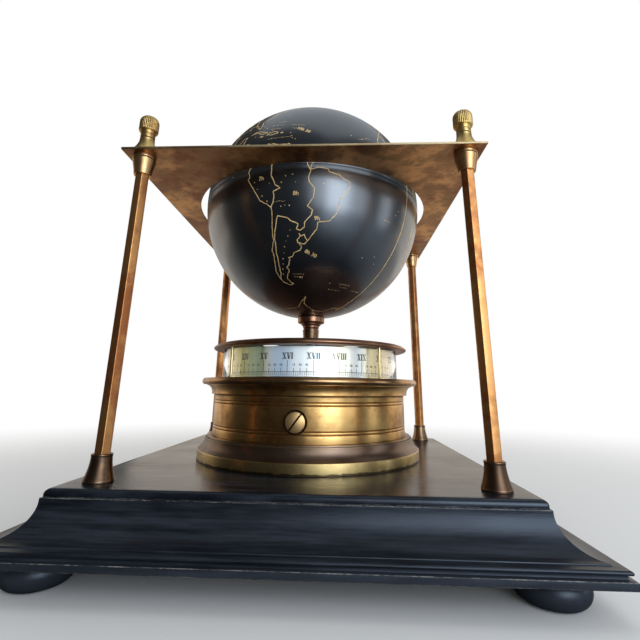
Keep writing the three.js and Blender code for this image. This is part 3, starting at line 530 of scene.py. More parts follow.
bare = new_finish("bare_wood")
growth = bare.noise(2.2 * MM, 4, stretch=(1, 0.06, 1), sharpness=0.6)
dress(bare.cover({
    "Base Color": bare.mix(growth, (0.20, 0.12, 0.06), (0.42, 0.29, 0.17)),
    "Roughness": 0.7 + growth * 0.2,
    "Normal": bare.bump(growth, 0.15 * MM),
}), "bottom_board")


# Bun feet
# Turned wooden feet, flattened balls with a small sole and neck, ebonised like the rest. Each is glued by its
# neck under a corner of the mouldings.
knurl_start, knurl_end, lathe_trace, turned_reach = mm(0.5, 1.2, 0.1, 0.5)


def turned(name, outline, ease, steps, centre=(0, 0), closed=False, lift=0, ridges=None):
    """An outline of (radius, height), eased and carried round an upright axis: x = r cos a, y = r sin a,
    z = height. A closed outline is a ring's section; an open one begins and ends on the axis. Ridges are
    (count, depth, low, high): between the heights low and high the radius loses depth * (0.5 + 0.5 cos(count
    a)), fading at both. The mark grain (radius, height, a trace of cos a) runs as the lathe's lines do."""
    outline = np.asarray(outline, float) + [0, lift]
    line = eased(outline, ease, 3, closed)
    a = np.arange(steps) * 2 * math.pi / steps
    radius, height = line.T[:, :, None]
    if ridges:
        count, depth, low, high = ridges
        rising = np.clip((height - lift - low) / knurl_start, 0, 1)
        ending = np.clip((high - height + lift) / knurl_end, 0, 1)
        radius = radius - depth * (0.5 + 0.5 * np.cos(count * a)) * rising * ending * (radius > 3 * depth)
    height = np.broadcast_to(height, (len(line), steps))
    radius = np.broadcast_to(radius, height.shape)
    grid = np.stack([centre[0] + radius * np.cos(a), centre[1] + radius * np.sin(a), height], 2)
    trace = np.broadcast_to(lathe_trace * np.cos(a), height.shape)
    edge = np.broadcast_to(edge_marks(line, outline, turned_reach)[:, None], height.shape)
    return surface(name, grid, closed, True, {"grain": np.stack([radius, height, trace], 2), "edge": edge})


foot_low, foot_high = box_of("bun_foot_1")
foot_r = (foot_high[0] - foot_low[0]) / 2
foot_place = -(foot_high[0] + foot_low[0]) / 2
belly = foot_high[2] / 2
foot_outline = [
    [0, 0],
    [foot_r * 0.55, 0],
    *arc((foot_r - belly, belly), (belly, belly), -62, 62, 20),
    [foot_r * 0.72, foot_high[2]],
    [0, foot_high[2]],
]
corners = ((-1, -1), (1, -1), (1, 1), (-1, 1))
for number, (x, y) in enumerate(corners, 1):
    bun = turned("turned_foot_%d" % number, foot_outline, 0.5 * MM, 72, (x * foot_place, y * foot_place))
    fit(bun, ebony, "ebonised_wood", "stand", "bun_foot_%d" % number)


# Columns
# Lengths of stock hexagonal brass rod stand in flared sockets on the board. A flared ferrule heads each one
# and a nut with a trumpet base and a knurled head draws the plate down on it.
def brass_finish(name, bright, brown, browned, gloss, lines=0.3, dark_bands=(), spread=0.0):
    """Brass with fine lines along the mark grain, brown clouds over the share `browned` of it, dark spots,
    edges rubbed bright and hollows darkened by grime and painted shade, both from the mark edge. Each dark
    band is (low, high, raggedness of its borders, colour), its heights over the ground. On turned pieces
    `spread` draws the highlights out across the tool's lines."""
    metal = new_finish(name)
    grain, edge = metal.mark("grain", "Vector"), metal.mark("edge", "Fac")
    line = metal.noise(0.22 * MM, 3, place=grain, sharpness=0.7)
    band = metal.noise(2.6 * MM, 2, place=grain)
    cloud = metal.noise(24 * MM, 5, sharpness=0.58)
    blot = metal.noise(5 * MM, 4, sharpness=0.6)
    stain = metal.between(cloud * 0.75 + blot * 0.25, browned + 0.10, browned - 0.10)
    speck = metal.between(metal.noise(0.9 * MM, 2), 0.72, 0.77)
    rubbed = metal.between(edge + blot * 0.5, 0.6, 1.2)
    # Grime and painted shade: the hollows, where the mark edge is -1, turn dark brown and become less
    # metallic and rougher.
    grime_and_shade = metal.between(edge * -1 + blot * 0.4, 0.35, 0.9)
    dark = tuple(part * 0.22 for part in brown)
    colour = metal.mix(metal.between(line * 0.5 + band * 0.5, 0.3, 0.75) * 0.4, bright, brown)
    colour = metal.mix(stain, colour, brown)
    for low, high, ragged, tone in dark_bands:
        wavy = metal.coordinate("Z") + (blot - 0.5) * ragged
        inside = metal.between(wavy, low, low + 0.2 * MM) * (1 - metal.between(wavy, high, high + 0.2 * MM))
        colour = metal.mix(inside * (0.7 + cloud * 0.4), colour, tone)
    colour = metal.mix(rubbed * 0.5, colour, tuple(min(1, part * 1.15) for part in bright))
    colour = metal.mix(grime_and_shade.math("MAXIMUM", speck * 0.8), colour, dark)
    return metal.cover({
        "Base Color": colour,
        "Metallic": 1 - grime_and_shade * 0.5,
        "Roughness": gloss + line * 0.12 + stain * 0.10 + grime_and_shade * 0.25 - rubbed * 0.05,
        "Normal": metal.bump(line, lines * 0.01 * MM, metal.bump(blot, 0.015 * MM)),
        "Anisotropic": spread,
        "Anisotropic Rotation": 0.25,
    })


socket_low, socket_high = box_of("base_socket_1")
column_place = -(socket_low[0] + socket_high[0]) / 2
bronze = brass_finish("browned_brass", (0.40, 0.26, 0.15), (0.16, 0.095, 0.06), 0.54, 0.27, spread=0.5)
ferrule_brass = brass_finish("ferrule_brass", (0.90, 0.57, 0.27), (0.56, 0.29, 0.11), 0.42, 0.33, spread=0.5)
column_brass = brass_finish("column_brass", (0.86, 0.44, 0.16), (0.46, 0.165, 0.06), 0.48, 0.34)
finial_brass = brass_finish("finial_brass", (1.0, 0.73, 0.29), (0.80, 0.49, 0.19), 0.40, 0.35, spread=0.6)


def stepped(radius, height, *steps):
    """Outline points set off from a radius and a height by steps of (out, up) in millimetres."""
    return [[radius + out * MM, height + up * MM] for out, up in steps]


column_flats = 3.175 * MM
flare_r, waist_r = (socket_high[0] - socket_low[0]) / 2, 4.45 * MM
socket_h = socket_high[2] - socket_low[2]
rim_h = 0.9 * MM
socket_outline = [
    [column_flats, 0],
    [flare_r, 0],
    [flare_r, rim_h],
    *[[waist_r + (flare_r - waist_r) * (1 - t) ** 1.9, rim_h + (socket_h - rim_h - 0.9 * MM) * t]
      for t in np.linspace(0.03, 1, 14)],
    *stepped(waist_r, socket_h, (0.2, -0.5), (0, 0)),
    [column_flats, socket_h],
]
ferrule_low, ferrule_high = box_of("top_ferrule_1")
ferrule_r = (ferrule_high[0] - ferrule_low[0]) / 2
ferrule_h = ferrule_high[2] - ferrule_low[2]
ferrule_outline = [
    [column_flats, 0],
    *stepped(waist_r, 0, (-0.1, 0), (0, 0.6)),
    *[[waist_r + (ferrule_r - waist_r) * t ** 1.15, 0.6 * MM + (ferrule_h - 2.9 * MM) * t]
      for t in np.linspace(0.05, 1, 12)],
    *stepped(ferrule_r, ferrule_h, (-0.3, -2.0), (-0.3, -1.6), (0, -1.3), (0, 0)),
    [column_flats, ferrule_h],
]
finial_low, finial_high = box_of("finial_nut_1")
finial_h = finial_high[2] - finial_low[2]
trumpet_r, neck_r, head_r = mm(7.4, 3.6, 5.15)
head_low, crown_h = 14.4 * MM, 3.4 * MM
finial_outline = [
    [0, 0],
    *stepped(trumpet_r, 0, (0, 0), (0, 1.0)),
    *[[neck_r + 0.3 * MM + (trumpet_r - neck_r - 0.8 * MM) * (1 - t) ** 1.6, 1.5 * MM + 7.3 * MM * t]
      for t in np.linspace(0, 1, 16)],
    *stepped(neck_r, 0, (0.35, 9.4), (0, 9.7), (0, 10.1), (0.3, 10.4), (0.2, 12.2)),
    *stepped(neck_r, 0, (-0.05, 12.5), (0.3, 12.8)),
    [neck_r + 0.4 * MM, head_low],
    [0, head_low],
]
crown_low = finial_h - crown_h
head_outline = [
    [0, head_low],
    *stepped(head_r, head_low, (-0.4, 0), (0, 0.5)),
    *[[head_r, z] for z in np.linspace(head_low + 1 * MM, crown_low - 0.5 * MM, 6)],
    *arc((head_r * 0.38, crown_low), (head_r * 0.62, crown_h), 8, 90, 12),
    [0, finial_h],
]
knurl_count, knurl_steps = 34, 8
knurls = (knurl_count, 0.22 * MM, head_low + 0.2 * MM, finial_h - 1.2 * MM)

plate_low, plate_high = box_of("top_plate")
column_turns = (24, -18, 9, -12)  # degrees, as each rod was screwed home
for number, (x, y) in enumerate(corners, 1):
    centre = (x * column_place, y * column_place)
    a = np.radians(column_turns[number - 1] + np.arange(6) * 60 - 90)
    hexagon = column_flats / math.cos(math.pi / 6) * np.stack([np.cos(a), np.sin(a)], 1)
    hex_line = eased(hexagon, 0.3 * MM, 4)
    hex_edge = edge_marks(hex_line, hexagon, 0.5 * MM)
    heights = np.linspace(stand_top + 3 * MM, plate_low[2] - 3 * MM, 3)
    flat = np.broadcast_to(hex_line + centre, (3, *hex_line.shape))
    tall = np.broadcast_to(heights[:, None, None], (3, len(hex_line), 1))
    shaft = surface("hexagonal_column_%d" % number, np.concatenate([flat, tall], 2), False, True, {
        "grain": np.concatenate([flat, tall * 0.012], 2),
        "edge": np.broadcast_to(hex_edge, flat.shape[:2]),
    })
    fit(shaft, column_brass, "satin_brass", "stand", "column_%d" % number)
    socket = turned("flared_socket_%d" % number, socket_outline, 0.25 * MM, 72, centre, True, socket_low[2])
    fit(socket, bronze, "aged_brass", "stand", "base_socket_%d" % number)
    ferrule = turned("flared_ferrule_%d" % number, ferrule_outline, 0.2 * MM, 72, centre, True,
                     ferrule_low[2])
    fit(ferrule, ferrule_brass, "aged_brass", "stand", "top_ferrule_%d" % number)
    trumpet = turned("finial_base_%d" % number, finial_outline, 0.25 * MM, 72, centre, lift=finial_low[2])
    fit(trumpet, finial_brass, "satin_brass", "stand", "finial_nut_%d" % number)
    head = turned("finial_head_%d" % number, head_outline, 0.3 * MM, knurl_count * knurl_steps, centre,
                  lift=finial_low[2], ridges=knurls)
    fit(head, finial_brass, "satin_brass", "stand", "finial_nut_%d" % number)

# Top plate
# A square of brass sheet, left from the rolls, with a round hole that the globe's middle turns in. Its
# underside has gone brown in clouds and swirls, and its edges are rubbed bright.
plate_half = plate_high[0]
plate_z = (plate_low[2], plate_high[2])
hole_r = 80.2 * MM
plate_edge = 0.25 * MM
rise, outwards = np.linspace(plate_z[0] + plate_edge, plate_z[1] - plate_edge, 3), np.linspace(0, 1, 11)
flat_from, flat_to = hole_r + plate_edge, plate_half - plate_edge
plate_rows = [(0, hole_r, plate_half, z) for z in rise[::-1]]
plate_rows += [(share, flat_from, flat_to, plate_z[0]) for share in outwards]
plate_rows += [(1, hole_r, plate_half, z) for z in rise]
plate_rows += [(share, flat_from, flat_to, plate_z[1]) for share in outwards[::-1]]
sheet = new_finish("sheet_brass")
drift = sheet.node("ShaderNodeTexNoise", {}, {"Vector": sheet.place(), "Scale": 25, "Detail": 3}, "Color")
drift = sheet.node("ShaderNodeVectorMath", {"operation": "MULTIPLY"}, {0: drift, 1: (0.03, 0.03, 0.03)})
warped = sheet.node("ShaderNodeVectorMath", {"operation": "ADD"}, {0: sheet.place(), 1: drift})
swirl = sheet.noise(12 * MM, 5, place=warped, sharpness=0.65)
patch = sheet.between(sheet.noise(30 * MM, 5, sharpness=0.62), 0.40, 0.60)
scratch = sheet.between(sheet.noise(0.5 * MM, 3, stretch=(0.05, 1, 1)), 0.60, 0.72)
drop = sheet.between(sheet.noise(2.1 * MM, 3), 0.68, 0.74)
outward = sheet.coordinate("X").math("ABSOLUTE").math("MAXIMUM", sheet.coordinate("Y").math("ABSOLUTE"))
rim = sheet.between(outward, plate_half - 0.30 * MM, plate_half - 0.05 * MM)
rolled = sheet.mix(patch, (0.34, 0.13, 0.055), (0.98, 0.53, 0.22))
swirled = sheet.mix(sheet.between(swirl, 0.42, 0.60) * 0.75, rolled, (0.46, 0.25, 0.11))
dropped = sheet.mix(drop * 0.7, swirled, (0.10, 0.055, 0.03))
sheet_brass = sheet.cover({
    "Base Color": sheet.mix(rim * (0.55 + patch * 0.45), dropped, (0.70, 0.56, 0.32)),
    "Metallic": 1 - drop * 0.4,
    "Roughness": 0.30 + swirl * 0.16 + patch * 0.06 + drop * 0.2 - scratch * 0.05,
    "Normal": sheet.bump(swirl, 0.06 * MM, sheet.bump(scratch, 0.004 * MM)),
})
plate = squared_ring("square_plate", plate_rows, 0.4 * MM, 64, 4)
fit(plate, sheet_brass, "aged_brass", "stand", "top_plate")

# Drum
# A moulded foot ring is screwed to the board, and over it sits a turned brass case with two pairs of fine
# grooves and a stepped cornice. Three screws in sunk seats hold the case to a ring inside it.
drum_low, drum_high = box_of("drum_case")
ring_low, ring_high = box_of("drum_foot_ring")
cornice_r, deck_top, case_low = drum_high[0], drum_high[2], drum_low[2]
drum_r = 61.004 * MM
drum_wall = 2.4 * MM
band_r, band_top, shoulder_z = ring_high[0], 39.7 * MM, ring_high[2] - 1.1 * MM
ring_outline = np.array([
    [drum_r - drum_wall, ring_low[2]],
    [band_r, ring_low[2]],
    [band_r, band_top],
    [band_r - 0.6 * MM, band_top + 0.3 * MM],
    *arc((band_r + 0.9 * MM, shoulder_z + 0.4 * MM), (5 * MM, 6.5 * MM), 240, 182, 14),
    [drum_r + 3 * MM, shoulder_z],
    [drum_r + 3 * MM, ring_high[2]],
    [drum_r - drum_wall, ring_high[2]],
])
# Darker bands on the foot ring: one over its slope, and a ragged one along its lowest edge.
slope = (band_top + 0.1 * MM, 1, 0.3 * MM, (0.19, 0.125, 0.10))
dark_foot_edge = (0, ring_low[2] + 0.9 * MM, 2.4 * MM, (0.10, 0.07, 0.04))
foot_brass = brass_finish("foot_brass", (0.70, 0.52, 0.22), (0.36, 0.23, 0.10), 0.44, 0.28,
                          dark_bands=[slope, dark_foot_edge], spread=0.5)
# The top of the cornice is a darker brown band.
cornice_top = (deck_top - 3.9 * MM, 1, 0.2 * MM, (0.36, 0.20, 0.12))
drum_brass = brass_finish("drum_brass", (0.80, 0.49, 0.18), (0.38, 0.175, 0.055), 0.45, 0.25, lines=0.6,
                          dark_bands=[cornice_top], spread=0.7)
foot_ring = turned("foot_ring", ring_outline, 0.3 * MM, 192, closed=True)
fit(foot_ring, foot_brass, "aged_brass", "stand", "drum_foot_ring")

groove_deep, groove_apart = 0.5 * MM, 1.6 * MM
low_grooves, high_grooves = 52.4 * MM, 66.7 * MM
cornice_low, fillet_z, lip_z = mm(70.8, 76.1, 76.6)
neck_out, fillet_out, lip_out = mm(2, 5.15, 7.3)


def grooves(z):
    """Outline points of a pair of fine grooves on both sides of a height."""
    half = groove_apart / 2
    return [[drum_r, z - 1.5 * half], [drum_r - groove_deep, z - half], [drum_r, z - 0.5 * half],
            [drum_r, z + 0.5 * half], [drum_r - groove_deep, z + half], [drum_r, z + 1.5 * half]]


case_outline = [
    [drum_r - drum_wall, case_low],
    [drum_r, case_low],
    *grooves(low_grooves),
    *grooves(high_grooves),
    [drum_r, cornice_low],
    [drum_r + neck_out, cornice_low + 0.2 * MM],
    *arc((drum_r + fillet_out, cornice_low + 1 * MM),
         (fillet_out - neck_out, fillet_z - cornice_low - 1 * MM), 180, 96, 12),
    [drum_r + fillet_out, fillet_z],
    [drum_r + fillet_out, lip_z],
    [drum_r + lip_out, lip_z],
    *stepped(cornice_r, lip_z, (0, 1.3), (0, 2.2)),
    *stepped(cornice_r, deck_top, (-0.9, 0)),
    *stepped(0, deck_top, (6, 0), (6, -3)),
    *stepped(drum_r - drum_wall, deck_top, (0, -3)),
]
case = turned("drum_wall", case_outline, 0.2 * MM, 192, closed=True)

screw_z = stand_top + 23.9 * MM
seat_r, seat_depth, screw_head_r, screw_rim = mm(6.3, 1.4, 5.2, 0.15)
screw_turns = [math.radians(angle - 2.7) for angle in (0, 120, 240)]


def section(inner, outer, low, high):
    """The rectangle between two radii and two heights, its corners in order."""
    return [[inner, low], [outer, low], [outer, high], [inner, high]]


def laid_out(piece, turn, out, height):
    """Lays what stands on the origin so that it points out of the drum, at an angle round it."""
    upended = Matrix.Translation((0, -out, height)) @ Matrix.Rotation(math.pi / 2, 4, "X")
    piece.data.transform(Matrix.Rotation(turn, 4, "Z") @ upended)
    return piece


def carved(piece, material, lining, *tools):
    """Cuts closed shapes out of a piece, gives the cuts a lining and throws the shapes away."""
    piece.data.materials.append(material)
    for tool in tools:
        tool.data.materials.append(lining)
        cut = piece.modifiers.new("cut", "BOOLEAN")
        cut.operation = "DIFFERENCE"
        cut.solver = "EXACT"
        cut.material_mode = "TRANSFER"
        cut.object = tool
    graph = bpy.context.evaluated_depsgraph_get()
    made = bpy.data.meshes.new_from_object(piece.evaluated_get(graph))
    piece.modifiers.clear()
    old, piece.data = piece.data, made
    bpy.data.meshes.remove(old)
    for tool in tools:
        bpy.data.objects.remove(tool)
    smoothed(made)


# Grime and painted shade: the linings of the screw seats and slots are near black, as the narrow gaps look in
# shade.
seat_dirt_and_shade = brass_finish("seat_dirt_and_shade_brass", (0.07, 0.04, 0.025), (0.03, 0.018, 0.012), 0.5, 0.5)
seat = section(0, seat_r, -seat_depth, 2 * MM)
seats = [laid_out(turned("seat", seat, 0.05 * MM, 64), turn, drum_r, screw_z) for turn in screw_turns]
carved(case, drum_brass, seat_dirt_and_shade, *seats)
fit(case, None, "satin_brass", "stand", "drum_case")
dress(foot_brass, "locating_ring")

screw_brass = brass_finish("screw_brass", (1.0, 0.68, 0.32), (0.80, 0.44, 0.17), 0.42, 0.40)
slot_lean = math.radians(53)
slot_half, slot_floor, dome_h = mm(0.45, -0.5, 0.95)
dome_r = (screw_head_r ** 2 + dome_h ** 2) / (2 * dome_h)
dome_half = math.degrees(math.asin(screw_head_r / dome_r))
screw_outline = [
    [0, -seat_depth],
    [screw_head_r, -seat_depth],
    [screw_head_r, screw_rim],
    *arc((0, screw_rim + dome_h - dome_r), (dome_r, dome_r), 90 - dome_half, 90, 10)[1:],
]
bar = np.array([[-1, -1], [1, -1], [1, 1], [-1, 1]]) * [2 * screw_head_r, slot_half] @ turning(slot_lean)
levels = np.array([slot_floor, 4 * MM])[:, None, None]
slot_grid = np.concatenate([np.broadcast_to(bar, (2, 4, 2)), np.broadcast_to(levels, (2, 4, 1))], 2)
for number, turn in enumerate(screw_turns, 1):
    screw = turned("slotted_screw_%d" % number, screw_outline, 0.3 * MM, 64)
    slot = surface("slot", slot_grid, False, True)
    carved(screw, screw_brass, seat_dirt_and_shade, slot)
    laid_out(screw, turn, drum_r, screw_z)
    fit(screw, None, "pale_brass", "stand", "case_screw_%d" % number)

# Hour chamber
# A glass cylinder stands between the drum's deck and a turned cap, with four thin brass posts outside it that
# tie the two together. A short sleeve on the cap steadies the spindle.
glass_low, glass_high = box_of("chamber_glass")
glass_r, glass_wall = glass_high[0], 1.5 * MM
glass_section = section(glass_r - glass_wall, glass_r, glass_low[2], glass_high[2])
pane = turned("glass_cylinder", glass_section, 0.2 * MM, 160, closed=True)
glass = new_finish("clear_glass")
haze = glass.noise(12 * MM, 3)
clear = glass.node("ShaderNodeBsdfPrincipled", {}, {
    "Base Color": (0.97, 0.99, 0.98),
    "Roughness": haze * 0.03,
    "IOR": 1.45,
    "Transmission Weight": 1.0,
})
shadow = glass.node("ShaderNodeLightPath", {}, {}, "Is Shadow Ray")
open_air = glass.node("ShaderNodeBsdfTransparent", {}, {"Color": (0.96, 0.98, 0.97)})
glazed = glass.node("ShaderNodeMixShader", {}, {0: shadow, 1: clear, 2: open_air})
glass.node("ShaderNodeOutputMaterial", {}, {"Surface": glazed})
fit(pane, glass.owner, "clear_glass", "stand", "chamber_glass")

pale_brass = brass_finish("pale_brass", (1.0, 0.80, 0.42), (0.88, 0.62, 0.27), 0.36, 0.33)
post_low, post_high = box_of("chamber_post_1")
post_place = -(post_low[0] + post_high[0]) / 2
post_r = (post_high[1] - post_low[1]) / 2
post_section = section(0, post_r, post_low[2], post_high[2])
for number, (x, y) in enumerate(corners, 1):
    post = turned("turned_post_%d" % number, post_section, 0.15 * MM, 32, (x * post_place, y * post_place))
    fit(post, pale_brass, "pale_brass", "stand", "chamber_post_%d" % number)

cap_low, cap_high = box_of("cap")
_, sleeve_high = box_of("spindle_sleeve")
cap_under, cap_r, cap_top = cap_low[2], cap_high[0], cap_high[2]
sleeve_r, sleeve_top = sleeve_high[0], sleeve_high[2]
cap_brass = brass_finish("cap_brass", (0.54, 0.29, 0.17), (0.26, 0.14, 0.10), 0.50, 0.30, spread=0.6)
cap_bore, bush_bore = 4.6 * MM, 3.1 * MM
cap_outline = [
    *stepped(cap_bore, cap_under, (0, 1)),
    *stepped(glass_r, cap_under, (-3, 1), (-3, 0)),
    *stepped(cap_r, cap_under, (-1.1, 0), (-0.1, 0.7), (-0.1, 1.5), (-1.2, 2.3), (-2.6, 3.1)),
    [cap_bore, cap_top],
]
cap = turned("turned_cap", cap_outline, 0.5 * MM, 192, closed=True)
fit(cap, cap_brass, "aged_brass", "stand", "cap")
sleeve_outline = [
    [bush_bore, cap_top],
    *stepped(sleeve_r, cap_top, (-0.2, 0), (-0.35, 4)),
    *stepped(sleeve_r, sleeve_top, (-0.1, -1.2), (0, -0.9), (0, 0)),
    [bush_bore, sleeve_top],
]
sleeve = turned("spindle_bush", sleeve_outline, 0.25 * MM, 96, closed=True)
fit(sleeve, bronze, "aged_brass", "stand", "spindle_sleeve")

# Hour ring
# A silvered brass ring turns once a day behind the glass. Roman hours stand over a scale of minutes whose
# quarters are numbered, all printed in black on the outside.
silver = new_finish("silvered_ring")
brushed = silver.noise(0.35 * MM, 3, stretch=(1, 1, 0.04), sharpness=0.6)
bloom = silver.noise(9 * MM, 4, stretch=(1, 1, 0.12), sharpness=0.6)
# From side to side it is tinted straw, green and blue, partly tarnish and partly painted reflections; each
# tint starts at a distance in mm.
across = silver.coordinate("X") + (bloom - 0.5) * (9 * MM)
tarnish_and_reflection_tone = (0.38, 0.28, 0.16)
for start, tint in (
    (-49, (0.48, 0.31, 0.05)), (-41, (0.27, 0.26, 0.07)), (-31, (0.22, 0.28, 0.18)),
    (-20, (0.34, 0.45, 0.62)), (-8, (0.70, 0.76, 0.82)), (16, (0.78, 0.72, 0.52)),
    (24, (0.62, 0.66, 0.70)), (33, (0.56, 0.46, 0.28)), (44, (0.48, 0.37, 0.23)),
):
    tarnish_and_reflection_tone = silver.mix(silver.between(across, (start - 4) * MM, (start + 4) * MM), tarnish_and_reflection_tone, tint)
silvered = silver.cover({
    "Base Color": silver.mix(silver.between(bloom, 0.40, 0.75) * 0.5, tarnish_and_reflection_tone, (0.60, 0.51, 0.30)),
    "Metallic": 0.95,
    "Roughness": 0.24 + brushed * 0.10 + bloom * 0.1,
    "Normal": silver.bump(brushed, 0.004 * MM),
})
scale_low, scale_high = box_of("hour_ring")
ring_r, ring_t = scale_high[0], 0.8 * MM
ring_section = section(ring_r - ring_t, ring_r, scale_low[2], scale_high[2])
hour_ring = turned("silvered_hour_ring", ring_section, 0.1 * MM, 192, closed=True)
fit(hour_ring, silvered, "silvered_metal", "ring", "hour_ring")

ink_finish = new_finish("black_ink")
ink = ink_finish.cover({
    "Base Color": ink_finish.mix(ink_finish.noise(0.5 * MM, 3), (0.008, 0.008, 0.008), (0.03, 0.028, 0.026)),
    "Roughness": 0.55,
})
ink_t = 0.05 * MM
hour_step = math.radians(15)
hour_16 = math.radians(-9)
numeral_low, numeral_high = stand_top + 56.2 * MM, stand_top + 59.7 * MM
base_line = stand_top + 49.6 * MM
tick_low, quarter_top, hour_top = stand_top + 47.8 * MM, stand_top + 51.5 * MM, stand_top + 55.6 * MM
digit_low, digit_high = stand_top + 52.5 * MM, stand_top + 53.8 * MM


def round_axis(radius, angle, height):
    """Points round the clock's axis, the angle measured from the front: (r sin a, -r cos a, height)."""
    return np.stack([radius * np.sin(angle), -radius * np.cos(angle), height], -1)


def wrapped_strokes(name, strokes):
    """Thin closed boxes on the ring. A stroke is four (distance round the ring, height) corners, and its box
    runs from under the ring's face to the ink's."""
    ends = np.asarray(strokes, float)
    a = ends[..., 0] / ring_r
    faces_in_out = [round_axis(radius, a, ends[..., 1]) for radius in (ring_r - ink_t, ring_r + ink_t)]
    points = np.concatenate(faces_in_out, 1)
    cube = np.array([[0, 1, 2, 3], [7, 6, 5, 4], [0, 4, 5, 1], [1, 5, 6, 2], [2, 6, 7, 3], [3, 7, 4, 0]])
    faces = (np.arange(len(points))[:, None, None] * 8 + cube[None]).reshape(-1, 4)
    return mesh_piece(name, points, faces.tolist())


def slanted(x_low, x_high, low, high, width):
    """A stroke's four corners. Its middle line runs from x_low at its foot to x_high at its head."""
    half = width / 2
    return [(x_low - half, low), (x_low + half, low), (x_high + half, high), (x_high - half, high)]


def upright(x, low, high, width):
    """The same for a stroke that stands upright at x."""
    return slanted(x, x, low, high, width)


thick, thin, serif_h = mm(0.86, 0.34, 0.32)
letter_widths = {"I": 1.2 * MM, "V": 2.5 * MM, "X": 2.6 * MM}


def letter(kind, x, low, high):
    """A Roman numeral's letter from its left edge x: thick down-strokes, thin up-strokes, flat serifs."""
    width = letter_widths[kind]
    left, right, middle = x + width * 0.18, x + width * 0.84, x + width / 2
    top, foot = high - serif_h, low + serif_h
    thick_serif, thin_serif, inset = thick * 1.7, thick * 1.3, thick * 0.2
    if kind == "I":
        serifs = [upright(middle, *ends, width * 0.9) for ends in ((low, foot), (top, high))]
        return [upright(middle, low, high, thick), *serifs]
    strokes = [
        slanted(right - inset if kind == "X" else middle, left + inset, low, high, thick),
        slanted(left if kind == "X" else middle + thick * 0.3, right, low, high, thin),
        upright(left + inset, top, high, thick_serif),
        upright(right, top, high, thin_serif),
    ]
    if kind == "X":
        strokes += [upright(left, low, foot, thin_serif), upright(right - inset, low, foot, thick_serif)]
    return strokes


def numeral(hour):
    """An hour in Roman figures, up to 24."""
    tens, ones = divmod(hour, 10)
    units = {4: "IV", 9: "IX"}.get(ones, "V" * (ones > 4) + "I" * (ones % 5))
    return "X" * tens + units


strokes = []
hour_line, quarter_line, minute_line, circle_line = mm(0.32, 0.28, 0.2, 0.26)
for hour in range(1, 25):
    middle = (hour_16 + (hour - 16) * hour_step) * ring_r
    letters = numeral(hour)
    x = middle - sum(letter_widths[kind] for kind in letters) / 2
    for kind in letters:
        strokes += letter(kind, x, numeral_low, numeral_high)
        x += letter_widths[kind]
    strokes.append(upright(middle, tick_low, hour_top, hour_line))
    for tick in range(1, 12):
        place = middle + tick / 12 * hour_step * ring_r
        top, width = (base_line, minute_line) if tick % 3 else (quarter_top, quarter_line)
        strokes.append(upright(place, tick_low, top, width))
line_steps = 192
for step in range(line_steps):
    start, end = (2 * math.pi * ring_r * (step + more) / line_steps for more in (0, 1))
    low, high = base_line - circle_line / 2, base_line + circle_line / 2
    strokes.append([(start, low), (end, low), (end, high), (start, high)])
fit(wrapped_strokes("hour_marks", strokes), ink, "black_lacquer", "ring")


# As shares: the height of a font's figures, of its size, and what the strokes gain in width, of the height.
capital_share, bolder = 0.73, 0.02


def written(text, height, thickness):
    """The points and faces of a number, its middle on the origin, from Blender's own letter shapes."""
    curve = bpy.data.curves.new(text, "FONT")
    curve.body = text
    curve.size = height / capital_share
    curve.align_x, curve.align_y = "CENTER", "CENTER"
    curve.extrude = thickness
    curve.offset = height * bolder
    curve.resolution_u = 2
    shape = added(text, curve)
    graph = bpy.context.evaluated_depsgraph_get()
    mesh = bpy.data.meshes.new_from_object(shape.evaluated_get(graph))
    bpy.data.objects.remove(shape)
    points = np.zeros(len(mesh.vertices) * 3)
    mesh.vertices.foreach_get("co", points)
    faces = [tuple(face.vertices) for face in mesh.polygons]
    bpy.data.meshes.remove(mesh)
    return points.reshape(-1, 3), faces


def gathered(name, shells):
    """One piece of many shells, each (points, faces)."""
    points, faces, filled = [], [], 0
    for shell_points, shell_faces in shells:
        points.append(shell_points)
        faces += [tuple(index + filled for index in face) for face in shell_faces]
        filled += len(shell_points)
    return mesh_piece(name, np.concatenate(points), faces)


digits = [written(text, digit_high - digit_low, ink_t) for text in ("15", "30", "45")]
shells = []
for hour in range(24):
    for quarter, (flat, outline) in enumerate(digits, 1):
        a = hour_16 + (hour + quarter / 4) * hour_step + flat[:, 0] / ring_r
        up = (digit_low + digit_high) / 2 + flat[:, 1]
        shells.append((round_axis(ring_r + flat[:, 2], a, up), outline))
fit(gathered("quarter_digits", shells), ink, "black_lacquer", "ring")

# Wheelwork
# Behind the ring a steel pinion that turns twice a day drives the globe's brass wheel and, through an idler,
# the ring's. They keep their CAD shapes, with cut teeth.
wheel_brass = brass_finish("wheel_brass", (0.78, 0.58, 0.28), (0.46, 0.30, 0.12), 0.42, 0.26)
wheels = ("globe_wheel", "ring_wheel", "ring_carrier", "idler_wheel", "footstep_bearing", "movement_nut")
dress(wheel_brass, *wheels)
iron = new_finish("turned_steel")
iron_line = iron.noise(0.3 * MM, 3, stretch=(0.1, 0.1, 1))
dress(iron.cover({
    "Base Color": iron.mix(iron_line, (0.42, 0.42, 0.43), (0.60, 0.60, 0.61)),
    "Metallic": 1.0,
    "Roughness": 0.25 + iron_line * 0.15,
    "Normal": iron.bump(iron_line, 0.005 * MM),
}), "spindle", "hour_pinion", "idler_stud")

